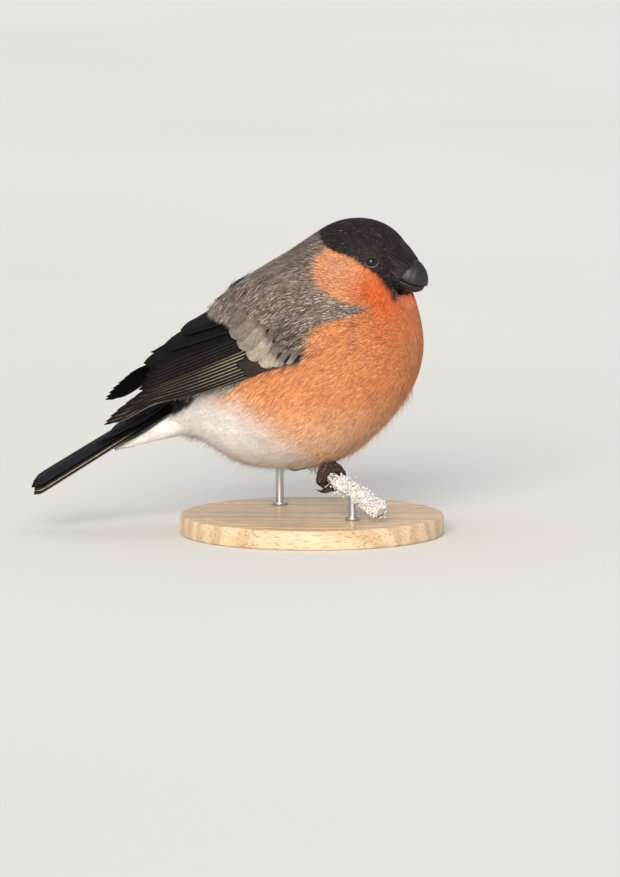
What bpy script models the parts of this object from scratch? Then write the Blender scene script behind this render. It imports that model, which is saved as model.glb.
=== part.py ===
"""A male Eurasian bullfinch at rest on a frosted twig, life size, on a plain display stand.

The bird faces +X, its right side faces -Y and up is +Z. The origin is the middle of the stand's
underside. Lengths are in millimetres and are turned into metres where a mesh is made.
"""

import math
import random

import bmesh
import bpy
import numpy as np
from mathutils import Matrix, Vector

MM = 0.001
GAP = 0.3

# The body's outline. Each row is a slice through the bird, from the tail root to the bill:
# the slice's back point (x, z), its belly point (x, z), its half width, and how far it turns with the head.
BODY_SLICES = [
    (-43.0, 46.4, -38.5, 30.4, 7.6, 0.0),
    (-39.2, 55.4, -34.2, 29.4, 12.2, 0.0),
    (-34.6, 63.2, -29.3, 26.4, 17.2, 0.0),
    (-29.4, 69.8, -23.5, 22.7, 21.6, 0.0),
    (-23.6, 75.4, -16.0, 20.7, 25.2, 0.0),
    (-17.0, 80.2, -7.0, 20.2, 27.6, 0.0),
    (-11.5, 83.6, 3.0, 21.2, 28.6, 0.0),
    (-8.0, 85.7, 12.5, 24.9, 28.4, 0.0),
    (-5.5, 87.3, 20.5, 31.7, 27.2, 0.0),
    (-2.5, 89.3, 27.2, 39.0, 25.2, 0.05),
    (0.0, 91.0, 31.8, 47.0, 22.4, 0.15),
    (2.3, 92.5, 33.8, 55.2, 18.8, 0.35),
    (5.5, 94.3, 33.6, 62.5, 15.4, 0.65),
    (9.5, 95.7, 32.4, 67.8, 13.1, 0.9),
    (13.9, 96.3, 31.0, 70.6, 11.8, 1.0),
    (18.2, 96.0, 29.9, 71.7, 10.8, 1.0),
    (22.2, 94.8, 29.2, 72.3, 9.6, 1.0),
    (25.8, 92.6, 28.6, 72.7, 8.4, 1.0),
    (28.5, 89.7, 28.0, 73.1, 7.1, 1.0),
    (30.3, 86.2, 27.3, 73.6, 5.9, 1.0),
]
BODY_RINGS = 36
BODY_SIDES = 36
HEAD_TURN = math.radians(22.0)
NECK_X = 9.0

# Where the body is parted: a back point and a belly point on each plane.
NECK_FROM_TORSO = ((-8.8, 85.2), (33.9, 57.0))
HEAD_FROM_NECK = ((0.6, 91.3), (32.2, 67.8))

BILL_BASE = (29.3, 80.0)
BILL_LENGTH = 8.0
BILL_TILT = math.radians(17.0)
BILL_TOP, BILL_BOTTOM, BILL_HALF_WIDTH = 5.1, 4.8, 4.7
BILL_HOOK = 1.5
MOUTH_DROP = 1.3

EYE_AT = (22.2, 83.9)
EYE_SIDE = 9.15
EYE_RADIUS = 2.7
LID_RING, LID_ROLL = 2.3, 0.5

# The wing lies on a smooth sheet beside the body. u runs from the shoulder to the tip, v across it towards the back.
SHOULDER = (10.0, 66.0)
WING_TIP = (-63.3, 34.2)
WING_MIDDLE = -2.0
SHEET_REACH = [(-6, 24.5), (0, 27.0), (18, 29.6), (30, 28.0), (47, 21.8), (64, 13.2), (80, 8.0)]
SHEET_HEIGHT = [(-6, 30.0), (20, 27.5), (38, 23.0), (58, 18.8), (80, 16.0)]
ARM_LOW = [(-4, 1.0), (4, -1.8), (14, -3.3), (24, -3.7), (31, -3.5)]
ARM_HIGH = [(-4, 4.0), (4, 11.0), (14, 15.0), (24, 17.0), (31, 17.5)]
ARM_INNER, ARM_OUTER = 1.8, 1.3
# The left wing is folded tighter and higher: for each u, how far it is lifted and how much it is narrowed.
FAR_WING_FOLD = [(20, 0.0, 1.0), (38, 1.6, 0.84), (50, 4.4, 0.66), (60, 6.4, 0.52), (68, 5.8, 0.7), (80, 4.5, 0.9)]
FAR_WING_LENGTH = 0.97

VANE_THICK = 0.72
VANE_LAYER = 0.3
SHINGLE_SLOPE = 0.27
VANE_OUTLINE = [(0.0, 0.75), (0.2, 1.0), (0.45, 1.0), (0.72, 0.9), (0.92, 0.62), (1.0, 0.18)]
# Each kind of wing feather: how many, then for the first and the last of them
# the root's u and v, the tip's u and v, and the width. The first is nearest the belly.
PRIMARIES = (8, (25.0, -3.2, 79.9, 0.2, 3.4), (25.0, 4.3, 63.6, 5.3, 3.8))
SECONDARIES = (5, (24.5, 5.3, 62.8, 7.2, 3.9), (24.5, 9.3, 59.5, 10.6, 4.4))
TERTIALS = (3, (23.5, 8.6, 60.3, 11.9, 6.4), (23.5, 13.4, 46.5, 16.6, 5.6))
GREAT_COVERTS = (9, (14.0, -2.9, 27.9, -1.6, 2.9), (17.0, 12.6, 33.0, 13.6, 3.8))
PRIMARY_BOW = 1.6
COVERT_RISE = 0.85
ROOT_DIP = 0.9

TAIL_ROOT = (-33.2, 47.0)
TAIL_SLOPE = math.radians(31.8)
TAIL_ROLL = math.radians(14.0)
TAIL_START, TAIL_LENGTH = 6.5, 60.0
TAIL_PAIRS = 6
TAIL_VANE_WIDTH = 7.0
TAIL_FAN, TAIL_DROP, TAIL_FORK = 0.32, 0.36, 0.35
RUMP_COVERTS = [(-3.0, 27.0), (3.2, 26.0), (-1.6, 33.0), (1.8, 31.5), (0.1, 37.5)]

# The twig's route, from behind the bird's left foot to in front of its right foot: each row is x, y, z.
TWIG_ROUTE = [
    (-12.5, 27.0, 23.6),
    (-8.6, 17.0, 24.2),
    (-4.2, 8.2, 23.3),
    (0.9, 0.0, 21.0),
    (6.4, -8.0, 17.7),
    (12.8, -16.0, 13.9),
    (20.6, -24.5, 9.6),
]
TWIG_RADIUS = 1.7
# How far beside the bird's middle each foot holds the twig, and the space that each is given.
FOOT_PLACES = {-1: -6.2, 1: 8.0}
BELLY_REACH = (-13.0, 23.0)
FROST_CLUMPS = 66
TOE_RADIUS = 1.0
TOE_ARCH = 0.35
# Each front toe: how far along the twig from the foot's middle, where the toe ends and where its claw ends, in degrees
# round the twig from the top.
FRONT_TOES = [(-2.3, 128, 172), (0.0, 140, 192), (2.3, 142, 238)]
TARSUS_RADIUS = 1.1
FOOT_ROOM, GRIP_ROOM = 7.8, 5.9

BASE_RADIUS, BASE_HEIGHT, BASE_BEVEL = 40.0, 6.0, 1.2
ROD_RADIUS = 1.3
ROD_PLACES = (0.12, 0.82)


# Small helpers for curves, meshes and joins.
def clear_scene():
    for obj in list(bpy.data.objects):
        bpy.data.objects.remove(obj)


def collection(name):
    made = bpy.data.collections.new(name)
    bpy.context.scene.collection.children.link(made)
    return made


def material(name, colour, roughness, metallic=0.0):
    made = bpy.data.materials.new(name)
    made.use_nodes = True
    shader = made.node_tree.nodes["Principled BSDF"]
    shader.inputs["Base Color"].default_value = (*colour, 1.0)
    shader.inputs["Roughness"].default_value = roughness
    shader.inputs["Metallic"].default_value = metallic
    return made


def through(rows, share):
    """The point at a share, 0 to 1, of the smooth curve through rows of numbers."""
    rows = np.asarray(rows, float)
    place = min(max(share, 0.0), 1.0) * (len(rows) - 1)
    i = min(int(place), len(rows) - 2)
    t = place - i
    a, b, c, d = rows[max(i - 1, 0)], rows[i], rows[i + 1], rows[min(i + 2, len(rows) - 1)]
    return 0.5 * (2 * b + (c - a) * t + (2 * a - 5 * b + 4 * c - d) * t**2 + (3 * b - a - 3 * c + d) * t**3)


def fitted(pairs, degree=3):
    """A smooth function of one number that passes near the pairs."""
    xs, ys = zip(*pairs)
    return np.poly1d(np.polyfit(xs, ys, degree))


def solid(name, points, faces, into):
    """A closed mesh object from points in millimetres, with its faces turned outwards."""
    mesh = bpy.data.meshes.new(name)
    mesh.from_pydata([tuple(c * MM for c in p) for p in points], [], faces)
    turn_outwards(mesh)
    obj = bpy.data.objects.new(name, mesh)
    into.objects.link(obj)
    return obj


def turn_outwards(mesh):
    work = bmesh.new()
    work.from_mesh(mesh)
    bmesh.ops.recalc_face_normals(work, faces=work.faces)
    if work.calc_volume(signed=True) < 0:
        bmesh.ops.reverse_faces(work, faces=work.faces)
    work.to_mesh(mesh)
    work.free()


def skin_over(rings):
    """Points and triangles of a closed tube through rings of as many points, capped by fans."""
    sides = len(rings[0])
    points = [tuple(p) for ring in rings for p in ring]
    faces = []
    for i in range(len(rings) - 1):
        for j in range(sides):
            k = (j + 1) % sides
            a, b, c, d = i * sides + j, i * sides + k, (i + 1) * sides + k, (i + 1) * sides + j
            faces += [(a, b, c), (a, c, d)]
    for start, ring in ((0, rings[0]), ((len(rings) - 1) * sides, rings[-1])):
        points.append(tuple(np.mean(ring, axis=0)))
        faces += [(start + j, start + (j + 1) % sides, len(points) - 1) for j in range(sides)]
    return points, faces


def loft(name, rings, into):
    return solid(name, *skin_over(rings), into)


def ridged_blade(name, place, stations, into):
    """A thin closed vane. Each station is (along, low, high, layer at low, layer at high, thickness).

    Its upper and lower faces hold the same grid, split along the same diagonals.
    """
    points = []
    for along, low, high, sink_low, sink_high, thick in stations:
        for side in (1, -1):
            for share, part in ((0.0, 0.7), (0.5, 1.0), (1.0, 0.7)):
                across = low + (high - low) * share
                layer = sink_low + (sink_high - sink_low) * share
                points.append(place(along, across, layer + side * part * thick / 2))
    faces = []
    for i in range(len(stations) - 1):
        a, b = 6 * i, 6 * (i + 1)
        for j in (0, 1):
            faces += [(a + j, a + j + 1, b + j + 1), (a + j, b + j + 1, b + j)]
            faces += [(a + 3 + j, b + 4 + j, a + 4 + j), (a + 3 + j, b + 3 + j, b + 4 + j)]
        for top, under in ((0, 3), (2, 5)):
            faces += [(a + top, b + top, b + under), (a + top, b + under, a + under)]
    for a in (0, 6 * (len(stations) - 1)):
        faces += [(a, a + 1, a + 4), (a, a + 4, a + 3), (a + 1, a + 2, a + 5), (a + 1, a + 5, a + 4)]
    return solid(name, points, faces, into)


def meshed(obj, into):
    """A mesh object from a curve object, with its caps welded."""
    graph = bpy.context.evaluated_depsgraph_get()
    mesh = bpy.data.meshes.new_from_object(obj.evaluated_get(graph))
    mesh.transform(obj.matrix_world)
    work = bmesh.new()
    work.from_mesh(mesh)
    bmesh.ops.remove_doubles(work, verts=work.verts, dist=0.00001)
    bmesh.ops.triangulate(work, faces=work.faces)
    work.to_mesh(mesh)
    work.free()
    turn_outwards(mesh)
    made = bpy.data.objects.new(obj.name + "_mesh", mesh)
    into.objects.link(made)
    bpy.data.objects.remove(obj)
    return made


def tube(name, route, radii, into, resolution=2):
    """A closed tube along points in millimetres, each with its own radius."""
    curve = bpy.data.curves.new(name, "CURVE")
    curve.dimensions = "3D"
    curve.bevel_depth = MM
    curve.bevel_resolution = resolution
    curve.use_fill_caps = True
    spline = curve.splines.new("POLY")
    spline.points.add(len(route) - 1)
    for point, place, radius in zip(spline.points, route, radii):
        point.co = (place[0] * MM, place[1] * MM, place[2] * MM, 1.0)
        point.radius = radius
    obj = bpy.data.objects.new(name, curve)
    into.objects.link(obj)
    bpy.context.view_layer.update()
    return meshed(obj, into)


def ball(name, centre, radius, into, segments=16, rings=10, stretch=(1, 1, 1)):
    mesh = bpy.data.meshes.new(name)
    work = bmesh.new()
    bmesh.ops.create_uvsphere(work, u_segments=segments, v_segments=rings, radius=radius * MM)
    bmesh.ops.scale(work, vec=stretch, verts=work.verts)
    bmesh.ops.translate(work, vec=Vector(centre) * MM, verts=work.verts)
    work.to_mesh(mesh)
    work.free()
    obj = bpy.data.objects.new(name, mesh)
    into.objects.link(obj)
    return obj


def apply_boolean(obj, operation, others, solver="EXACT"):
    """Joins the other objects to obj, or cuts them from it, and removes them."""
    group = collection("operands")
    for other in others:
        for holder in list(other.users_collection):
            holder.objects.unlink(other)
        group.objects.link(other)
    modifier = obj.modifiers.new("boolean", "BOOLEAN")
    modifier.operation = operation
    modifier.solver = solver
    modifier.operand_type = "COLLECTION"
    modifier.collection = group
    bpy.context.view_layer.update()
    graph = bpy.context.evaluated_depsgraph_get()
    mesh = bpy.data.meshes.new_from_object(obj.evaluated_get(graph))
    obj.modifiers.clear()
    obj.data = mesh
    for other in others:
        bpy.data.objects.remove(other)
    bpy.data.collections.remove(group)
    keep_largest(obj)
    return obj


def keep_largest(obj):
    """Leaves only the largest closed surface of obj."""
    work = bmesh.new()
    work.from_mesh(obj.data)
    bmesh.ops.triangulate(work, faces=work.faces)
    work.faces.ensure_lookup_table()
    seen, groups = set(), []
    for first in work.faces:
        if first.index in seen:
            continue
        group, waiting = [], [first]
        seen.add(first.index)
        while waiting:
            face = waiting.pop()
            group.append(face)
            for edge in face.edges:
                for other in edge.link_faces:
                    if other.index not in seen:
                        seen.add(other.index)
                        waiting.append(other)
        groups.append(group)
    best = max(groups, key=lambda g: sum(f.calc_area() for f in g))
    spare = [face for group in groups if group is not best for face in group]
    bmesh.ops.delete(work, geom=spare, context="FACES")
    work.to_mesh(obj.data)
    work.free()


def keep_side(obj, point, normal):
    """Cuts obj by a plane and keeps the side that the normal points to, with the cut closed."""
    work = bmesh.new()
    work.from_mesh(obj.data)
    geometry = list(work.verts) + list(work.edges) + list(work.faces)
    made = bmesh.ops.bisect_plane(
        work, geom=geometry, plane_co=Vector(point) * MM, plane_no=Vector(normal), clear_inner=True
    )
    edges = [e for e in made["geom_cut"] if isinstance(e, bmesh.types.BMEdge)]
    bmesh.ops.contextual_create(work, geom=edges)
    bmesh.ops.triangulate(work, faces=work.faces)
    work.to_mesh(obj.data)
    work.free()
    turn_outwards(obj.data)


def finished(obj, name, parts, finish, smooth_angle=40.0):
    """Names an object, gives it its material and puts it with the parts."""
    obj.name = name
    obj.data.name = name
    for holder in list(obj.users_collection):
        holder.objects.unlink(obj)
    parts.objects.link(obj)
    obj.data.materials.clear()
    obj.data.materials.append(finish)
    obj.data.shade_smooth()
    obj.data.set_sharp_from_angle(angle=math.radians(smooth_angle))
    return obj


# The body: one loft from the tail root to the bill, whose head end turns to the bird's right.
def turned(point, weight=1.0):
    """A point of the straight bird, turned about the neck as the head is."""
    angle = -HEAD_TURN * weight
    x, y, z = point
    dx = x - NECK_X
    return (NECK_X + dx * math.cos(angle) - y * math.sin(angle), dx * math.sin(angle) + y * math.cos(angle), z)


def body_ring(share, grow=0.0):
    back_x, back_z, belly_x, belly_z, half_width, weight = through(BODY_SLICES, share)
    middle = np.array([(back_x + belly_x) / 2, (back_z + belly_z) / 2])
    rise = np.array([back_x, back_z]) - middle
    rise *= 1 + grow / np.linalg.norm(rise)
    ring = []
    for j in range(BODY_SIDES):
        angle = 2 * math.pi * j / BODY_SIDES
        x, z = middle + rise * math.cos(angle)
        ring.append(turned((x, (half_width + grow) * math.sin(angle), z), min(max(weight, 0.0), 1.0)))
    return ring


def body_solid(into):
    return loft("body", [body_ring(i / (BODY_RINGS - 1)) for i in range(BODY_RINGS)], into)


def plane_through(back, belly, shift):
    """A point and a normal, towards the head, of the plane that parts the body through two points."""
    back, belly = np.array(back), np.array(belly)
    along = (back - belly) / np.linalg.norm(back - belly)
    normal = np.array([along[1], -along[0]])
    middle = (back + belly) / 2 + normal * shift
    return (middle[0], 0.0, middle[1]), (normal[0], 0.0, normal[1])


def part_body(work):
    """The torso, neck and head, cut from copies of the body by thin planes."""
    pieces = {}
    cuts = {
        "torso": [(NECK_FROM_TORSO, -GAP / 2, -1)],
        "neck": [(NECK_FROM_TORSO, GAP / 2, 1), (HEAD_FROM_NECK, -GAP / 2, -1)],
        "head": [(HEAD_FROM_NECK, GAP / 2, 1)],
    }
    for name, planes in cuts.items():
        piece = body_solid(work)
        for plane, shift, side in planes:
            point, normal = plane_through(*plane, shift)
            keep_side(piece, point, [side * n for n in normal])
        pieces[name] = piece
    return pieces


# The bill: two lofts of half ellipses that meet along the line of the mouth.
def bill_point(along, side, up):
    """A point from distances along, beside and above the bill's axis."""
    ahead, rise = math.cos(BILL_TILT), math.sin(BILL_TILT)
    x = BILL_BASE[0] + along * ahead + up * rise
    z = BILL_BASE[1] - along * rise + up * ahead
    return turned((x, side, z))


def mouth_line(share):
    return -MOUTH_DROP - 0.5 * math.sin(math.pi * share) - (BILL_HOOK - MOUTH_DROP) * share**2


def mandible_ring(share, upper):
    reach = share if upper else share * 0.9
    edge = mouth_line(reach) + (GAP / 2 if upper else -GAP / 2)
    fall = math.sqrt(max(1 - share**2.1, 0.0))
    if upper:
        height = (BILL_TOP - edge) * fall + 0.35
    else:
        height = -((BILL_BOTTOM + edge) * fall + 0.3)
    width = (BILL_HALF_WIDTH - (0.0 if upper else 0.35)) * max(1 - share**1.9, 0.0) ** 0.55 + 0.25
    return [
        bill_point(reach * BILL_LENGTH, width * math.cos(a), edge + height * math.sin(a))
        for a in np.linspace(0, math.pi, 9)
    ]


def mandible(name, upper, into):
    shares = [0.0, 0.2, 0.4, 0.58, 0.74, 0.87, 0.96, 1.0]
    return loft(name, [mandible_ring(s, upper) for s in shares], into)


# The eyes, and the lids that ring them.
def eye_centre(side):
    return turned((EYE_AT[0], side * EYE_SIDE, EYE_AT[1]))


def eye_direction(side):
    ahead = turned((NECK_X + 0.42, side * 1.0, 0.0))
    return Vector((ahead[0] - NECK_X, ahead[1], 0.12)).normalized()


def lid_ring(side, into):
    mesh = bpy.data.meshes.new("lids")
    bpy.ops.mesh.primitive_torus_add(
        major_segments=20, minor_segments=6, major_radius=LID_RING * MM, minor_radius=LID_ROLL * MM
    )
    made = bpy.context.object
    mesh = made.data
    out = eye_direction(side)
    turn = out.to_track_quat("Z", "Y").to_matrix().to_4x4()
    centre = Vector(eye_centre(side)) + out * (EYE_RADIUS * 0.63)
    mesh.transform(Matrix.Translation(centre * MM) @ turn @ Matrix.Diagonal((1.05, 0.86, 1.0, 1.0)))
    bpy.data.objects.remove(made)
    obj = bpy.data.objects.new("lids", mesh)
    into.objects.link(obj)
    return obj


# The wings: an arm under the coverts, and the flight feathers that grow from it.
sheet_reach = fitted(SHEET_REACH, 4)
sheet_height = fitted(SHEET_HEIGHT, 2)


def wing_sheet(u, v, side):
    """A point of the sheet that the folded wing follows. side is -1 for the right wing, 1 for the left."""
    if side > 0:
        at, lift, narrow = zip(*FAR_WING_FOLD)
        v = -1.0 + np.interp(u, at, lift) + (v + 1.0) * np.interp(u, at, narrow)
        u *= FAR_WING_LENGTH
    angle = math.atan2(WING_TIP[1] - SHOULDER[1], WING_TIP[0] - SHOULDER[0])
    ahead, rise = math.cos(angle), math.sin(angle)
    x = SHOULDER[0] + u * ahead + v * rise
    z = SHOULDER[1] + u * rise - v * ahead
    bulge = 1 - ((v - WING_MIDDLE) / sheet_height(u)) ** 2
    return np.array([x, side * sheet_reach(u) * math.sqrt(max(bulge, 0.02)), z])


def wing_point(side):
    """A function that places (u, v, distance out from the sheet) for one wing."""

    def place(u, v, out):
        here = wing_sheet(u, v, side)
        along = wing_sheet(u + 2.0, v, side) - wing_sheet(u - 2.0, v, side)
        across = wing_sheet(u, v + 1.0, side) - wing_sheet(u, v - 1.0, side)
        normal = np.cross(along, across)
        normal *= side * np.sign(normal[1]) / np.linalg.norm(normal)
        return tuple(here + normal * out)

    return place


def arm_ring(u, place, grow=0.0):
    low = float(fitted(ARM_LOW)(u)) - grow
    high = float(fitted(ARM_HIGH)(u)) + grow
    shares = np.linspace(0, 1, 7)
    thin = float(np.interp(u, (-4, 3, 22, 31), (0.1, 1.0, 1.0, 0.15)))
    bow = [ARM_OUTER * thin * math.sin(math.pi * s) ** 0.6 for s in shares]
    outer = [place(u, low + (high - low) * s, b + grow) for s, b in zip(shares, bow)]
    inner = [place(u, low + (high - low) * s, -ARM_INNER - grow) for s in shares]
    return outer + inner[::-1]


def arm(name, side, into, grow=0.0):
    return loft(name, [arm_ring(u, wing_point(side), grow) for u in np.linspace(-4 - grow, 31 + grow, 8)], into)


def feather(name, place, root, tip, width, layer, dip, into):
    """One feather of the folded wing. It dips into the arm at its root and tucks its upper edge under the next one."""
    stations = []
    for share, wide in VANE_OUTLINE:
        span = width * wide
        low = root[1] + (tip[1] - width * 0.3 - root[1]) * share**1.25
        if share > 0.8:
            low = low + (tip[1] - span / 2 - low) * (share - 0.8) * 5
        sink = SHINGLE_SLOPE * span
        thick = VANE_THICK * (1.0 if share < 0.9 else 0.8)
        top = layer - dip * max(0.0, 1 - share / 0.4)
        stations.append((root[0] + (tip[0] - root[0]) * share, low, low + span, top, top - sink, thick))
    return ridged_blade(name, place, stations, into)


def feather_row(kind, place, layer, dip, draw, into):
    """The feathers of one kind, evenly spread between the first and the last."""
    count, first, last = kind
    made = []
    for i in range(count):
        share = i / (count - 1)
        u0, v0, u1, v1, width = np.array(first) + (np.array(last) - np.array(first)) * share
        if kind is PRIMARIES:
            u1 += PRIMARY_BOW * math.sin(math.pi * share)
        u1 += draw.uniform(-0.35, 0.35)
        width *= draw.uniform(0.96, 1.04)
        made.append(feather("feather", place, (u0, v0), (u1, v1), width, layer, dip, into))
    return made


def wing(name, side, work):
    place = wing_point(side)
    draw = random.Random(11)
    vanes = feather_row(PRIMARIES, place, VANE_LAYER, 0.2, draw, work)
    vanes += feather_row(SECONDARIES, place, VANE_LAYER + 0.12, 0.3, draw, work)
    vanes += feather_row(TERTIALS, place, VANE_LAYER + 0.3, 0.5, draw, work)
    vanes += feather_row(GREAT_COVERTS, place, VANE_LAYER + COVERT_RISE, ROOT_DIP, draw, work)
    return apply_boolean(arm(name, side, work), "UNION", vanes)


def wing_clearance(side, into):
    """What the wing takes from the torso, with the gap round it: its arm, and the feathers behind the arm."""
    place = wing_point(side)
    rings = []
    for u in np.linspace(29.0, 62.0, 8):
        across = np.linspace(-3.9, 20.0 - 0.1 * (u - 29.0), 7)
        outer = [place(u, v, 1.5) for v in across]
        inner = [place(u, v, -ARM_INNER - 2 * GAP) for v in across]
        rings.append(outer + inner[::-1])
    return [arm("clearance", side, into, GAP), loft("clearance", rings, into)]


def behind_torso(obj):
    """Cuts obj off where the torso ends, with the gap between them."""
    back_x, back_z, belly_x, belly_z, *_ = BODY_SLICES[0]
    point, normal = plane_through((back_x, back_z), (belly_x, belly_z), -GAP)
    keep_side(obj, point, [-n for n in normal])
    return obj


# The tail: a flat fan of feathers on its own sloping and rolled plane.
def tail_point(along, across, up):
    ahead, fall = math.cos(TAIL_SLOPE), math.sin(TAIL_SLOPE)
    lean, stand = math.sin(TAIL_ROLL), math.cos(TAIL_ROLL)
    side = across * stand + up * -lean
    rise = across * lean + up * stand
    return (TAIL_ROOT[0] - along * ahead - rise * fall, side, TAIL_ROOT[1] - along * fall + rise * ahead)


def tail_vane(middle, width, length, top, work, start=TAIL_START):
    """One tail feather, slightly arched, from the root to its rounded tip."""
    stations = []
    for share, wide in ((0.0, 0.72), (0.3, 0.82), (0.65, 0.95), (0.93, 1.0), (1.0, 0.62)):
        half = width * wide / 2
        along = start + (length - start) * share
        centre = middle * (0.75 + 0.25 * share)
        thick = VANE_THICK * (1.0 if share < 0.9 else 0.8)
        stations.append((along, centre - half, centre + half, top - 0.15, top - 0.15, thick))
    return ridged_blade("feather", tail_point, stations, work)


def tail(name, work):
    """Pairs of tail feathers, the middle pair on top, and the black coverts over their roots."""
    vanes = []
    for pair in range(TAIL_PAIRS):
        for side in (-1, 1):
            middle = side * (1.5 + TAIL_FAN * pair)
            top = -TAIL_DROP * pair - 0.2 * (side < 0)
            vanes.append(tail_vane(middle, TAIL_VANE_WIDTH, TAIL_LENGTH + TAIL_FORK * pair, top, work))
    for i, (middle, reach) in enumerate(RUMP_COVERTS):
        vanes.append(tail_vane(middle, 6.4, reach, 0.45 + 0.1 * i, work))
    vanes[0].name = name
    return apply_boolean(vanes[0], "UNION", vanes[1:])


def undertail(name, work):
    """The soft white coverts below the tail, from the vent to their point."""
    rings = []
    for along, half_width, top, bottom in (
        (6.9, 6.6, -3.4, -14.5),
        (12.0, 6.6, -3.4, -11.8),
        (18.0, 6.0, -3.4, -9.6),
        (24.0, 4.8, -3.4, -7.4),
        (30.0, 2.8, -3.4, -5.6),
        (34.0, 0.8, -3.4, -4.4),
    ):
        middle, half = (top + bottom) / 2, (top - bottom) / 2
        rings.append(
            [
                tail_point(along, half_width * math.sin(a), middle + half * math.cos(a))
                for a in np.linspace(0, 2 * math.pi, 13)[:-1]
            ]
        )
    return loft(name, rings, work)


# The twig, and the feet that grip it.
def twig_at(share):
    return through(TWIG_ROUTE, share)


def twig(work, grow=0.0):
    shares = np.linspace(0, 1, 15)
    route = [twig_at(s) for s in shares]
    wave = [TWIG_RADIUS * (1 + 0.06 * math.sin(9 * s)) + grow for s in shares]
    return tube("twig", route, wave, work, 3)


def frost_clumps(work):
    """Rounded clumps of frost set close round the twig, clear of the feet."""
    draw = random.Random(7)
    clumps = []
    for i in range(FROST_CLUMPS):
        share = (i + 0.5) / FROST_CLUMPS
        here = twig_at(share)
        if any(np.linalg.norm(here - foot_on_twig(side)[0]) < 6.2 for side in (-1, 1)):
            continue
        if any(abs(share - place) < 0.035 for place in ROD_PLACES):
            continue
        along = twig_at(min(share + 0.01, 1)) - twig_at(max(share - 0.01, 0))
        along /= np.linalg.norm(along)
        side = np.cross(along, (0, 0, 1))
        side /= np.linalg.norm(side)
        up = np.cross(side, along)
        angle = 2.4 * i + draw.uniform(-0.4, 0.4)
        under_belly = BELLY_REACH[0] < here[1] < BELLY_REACH[1]
        if FOOT_PLACES[-1] < here[1] < FOOT_PLACES[1] or (under_belly and math.cos(angle) > -0.6):
            continue
        centre = here + (side * math.sin(angle) + up * (math.cos(angle) * 0.8 + 0.3)) * TWIG_RADIUS * 0.9
        size = draw.uniform(0.95, 1.5)
        clumps.append(ball("clump", centre, size, work, 7, 5, (1, 1, draw.uniform(0.8, 1.1))))
    return clumps


def foot_on_twig(side):
    """The twig's middle under one foot, the twig's direction, up and forwards there."""
    shares = np.linspace(0, 1, 101)
    share = min(shares, key=lambda s: abs(twig_at(s)[1] - FOOT_PLACES[side]))
    along = twig_at(share + 0.01) - twig_at(share - 0.01)
    along /= np.linalg.norm(along)
    up = np.array([0, 0, 1]) - along * along[2]
    up /= np.linalg.norm(up)
    ahead = np.cross(along, up)
    ahead *= np.sign(ahead[0])
    return twig_at(share), along, up, ahead


def toe_route(side, offset, first, last, count, lifted=0.0):
    """Points of a toe or claw, curled round the twig from one angle to another."""
    middle, along, up, ahead = foot_on_twig(side)
    reach = TWIG_RADIUS * 1.06 + GAP + TOE_RADIUS + TOE_ARCH
    route = []
    for share in np.linspace(0, 1, count):
        angle = math.radians(first + (last - first) * share)
        far = reach + lifted * share
        spread = along * offset * (0.35 + 0.65 * min(2 * share, 1.0) if lifted == 0.0 else 1.0)
        route.append(middle + spread + (up * math.cos(angle) + ahead * math.sin(angle)) * far)
    return route


def tarsus_route(side):
    start = toe_route(side, 0.0, -24, 0, 2)[0]
    lean = np.array([-0.22, -0.10 * side, 1.0])
    lean /= np.linalg.norm(lean)
    return [start - lean * 0.3, start + lean * 3.0, start + lean * 6.0, start + lean * 9.5]


def leg(name, side, work):
    pieces = []
    for offset, last, claw in FRONT_TOES:
        route = toe_route(side, offset, -22, last, 8)
        radii = [TOE_RADIUS * (1.0 - 0.2 * i / 7 + 0.1 * (i % 2)) for i in range(8)]
        pieces.append(tube("toe", route, radii, work))
        route = toe_route(side, offset, last - 8, claw, 6, 1.9)
        pieces.append(tube("claw", route, [0.66, 0.62, 0.54, 0.43, 0.3, 0.14], work, 1))
    route = toe_route(side, 0.5, -22, -122, 6)
    pieces.append(tube("toe", route, [TOE_RADIUS * (1.12 - 0.03 * i) for i in range(6)], work))
    route = toe_route(side, 0.5, -114, -172, 5, 1.0)
    pieces.append(tube("claw", route, [0.8, 0.7, 0.52, 0.34, 0.14], work, 1))
    shank = tube(name, tarsus_route(side), [1.35, TARSUS_RADIUS, TARSUS_RADIUS, TARSUS_RADIUS], work)
    return apply_boolean(shank, "UNION", pieces)


def leg_clearance(side, into):
    """The pocket in the torso for the shank, and the notch round the toes where they hold the twig."""
    route = tarsus_route(side)
    end = route[-1] + (route[-1] - route[-2]) / np.linalg.norm(route[-1] - route[-2]) * GAP
    shank = tube("clearance", [*route[:-1], end], [1.35 + GAP] + [TARSUS_RADIUS + GAP] * 3, into)
    middle, along, _up, _ahead = foot_on_twig(side)
    ends = [middle + along * reach for reach in (-FOOT_ROOM / 2, FOOT_ROOM / 2)]
    notch = tube("clearance", ends, [GRIP_ROOM, GRIP_ROOM], into, 3)
    return [shank, notch]


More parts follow.
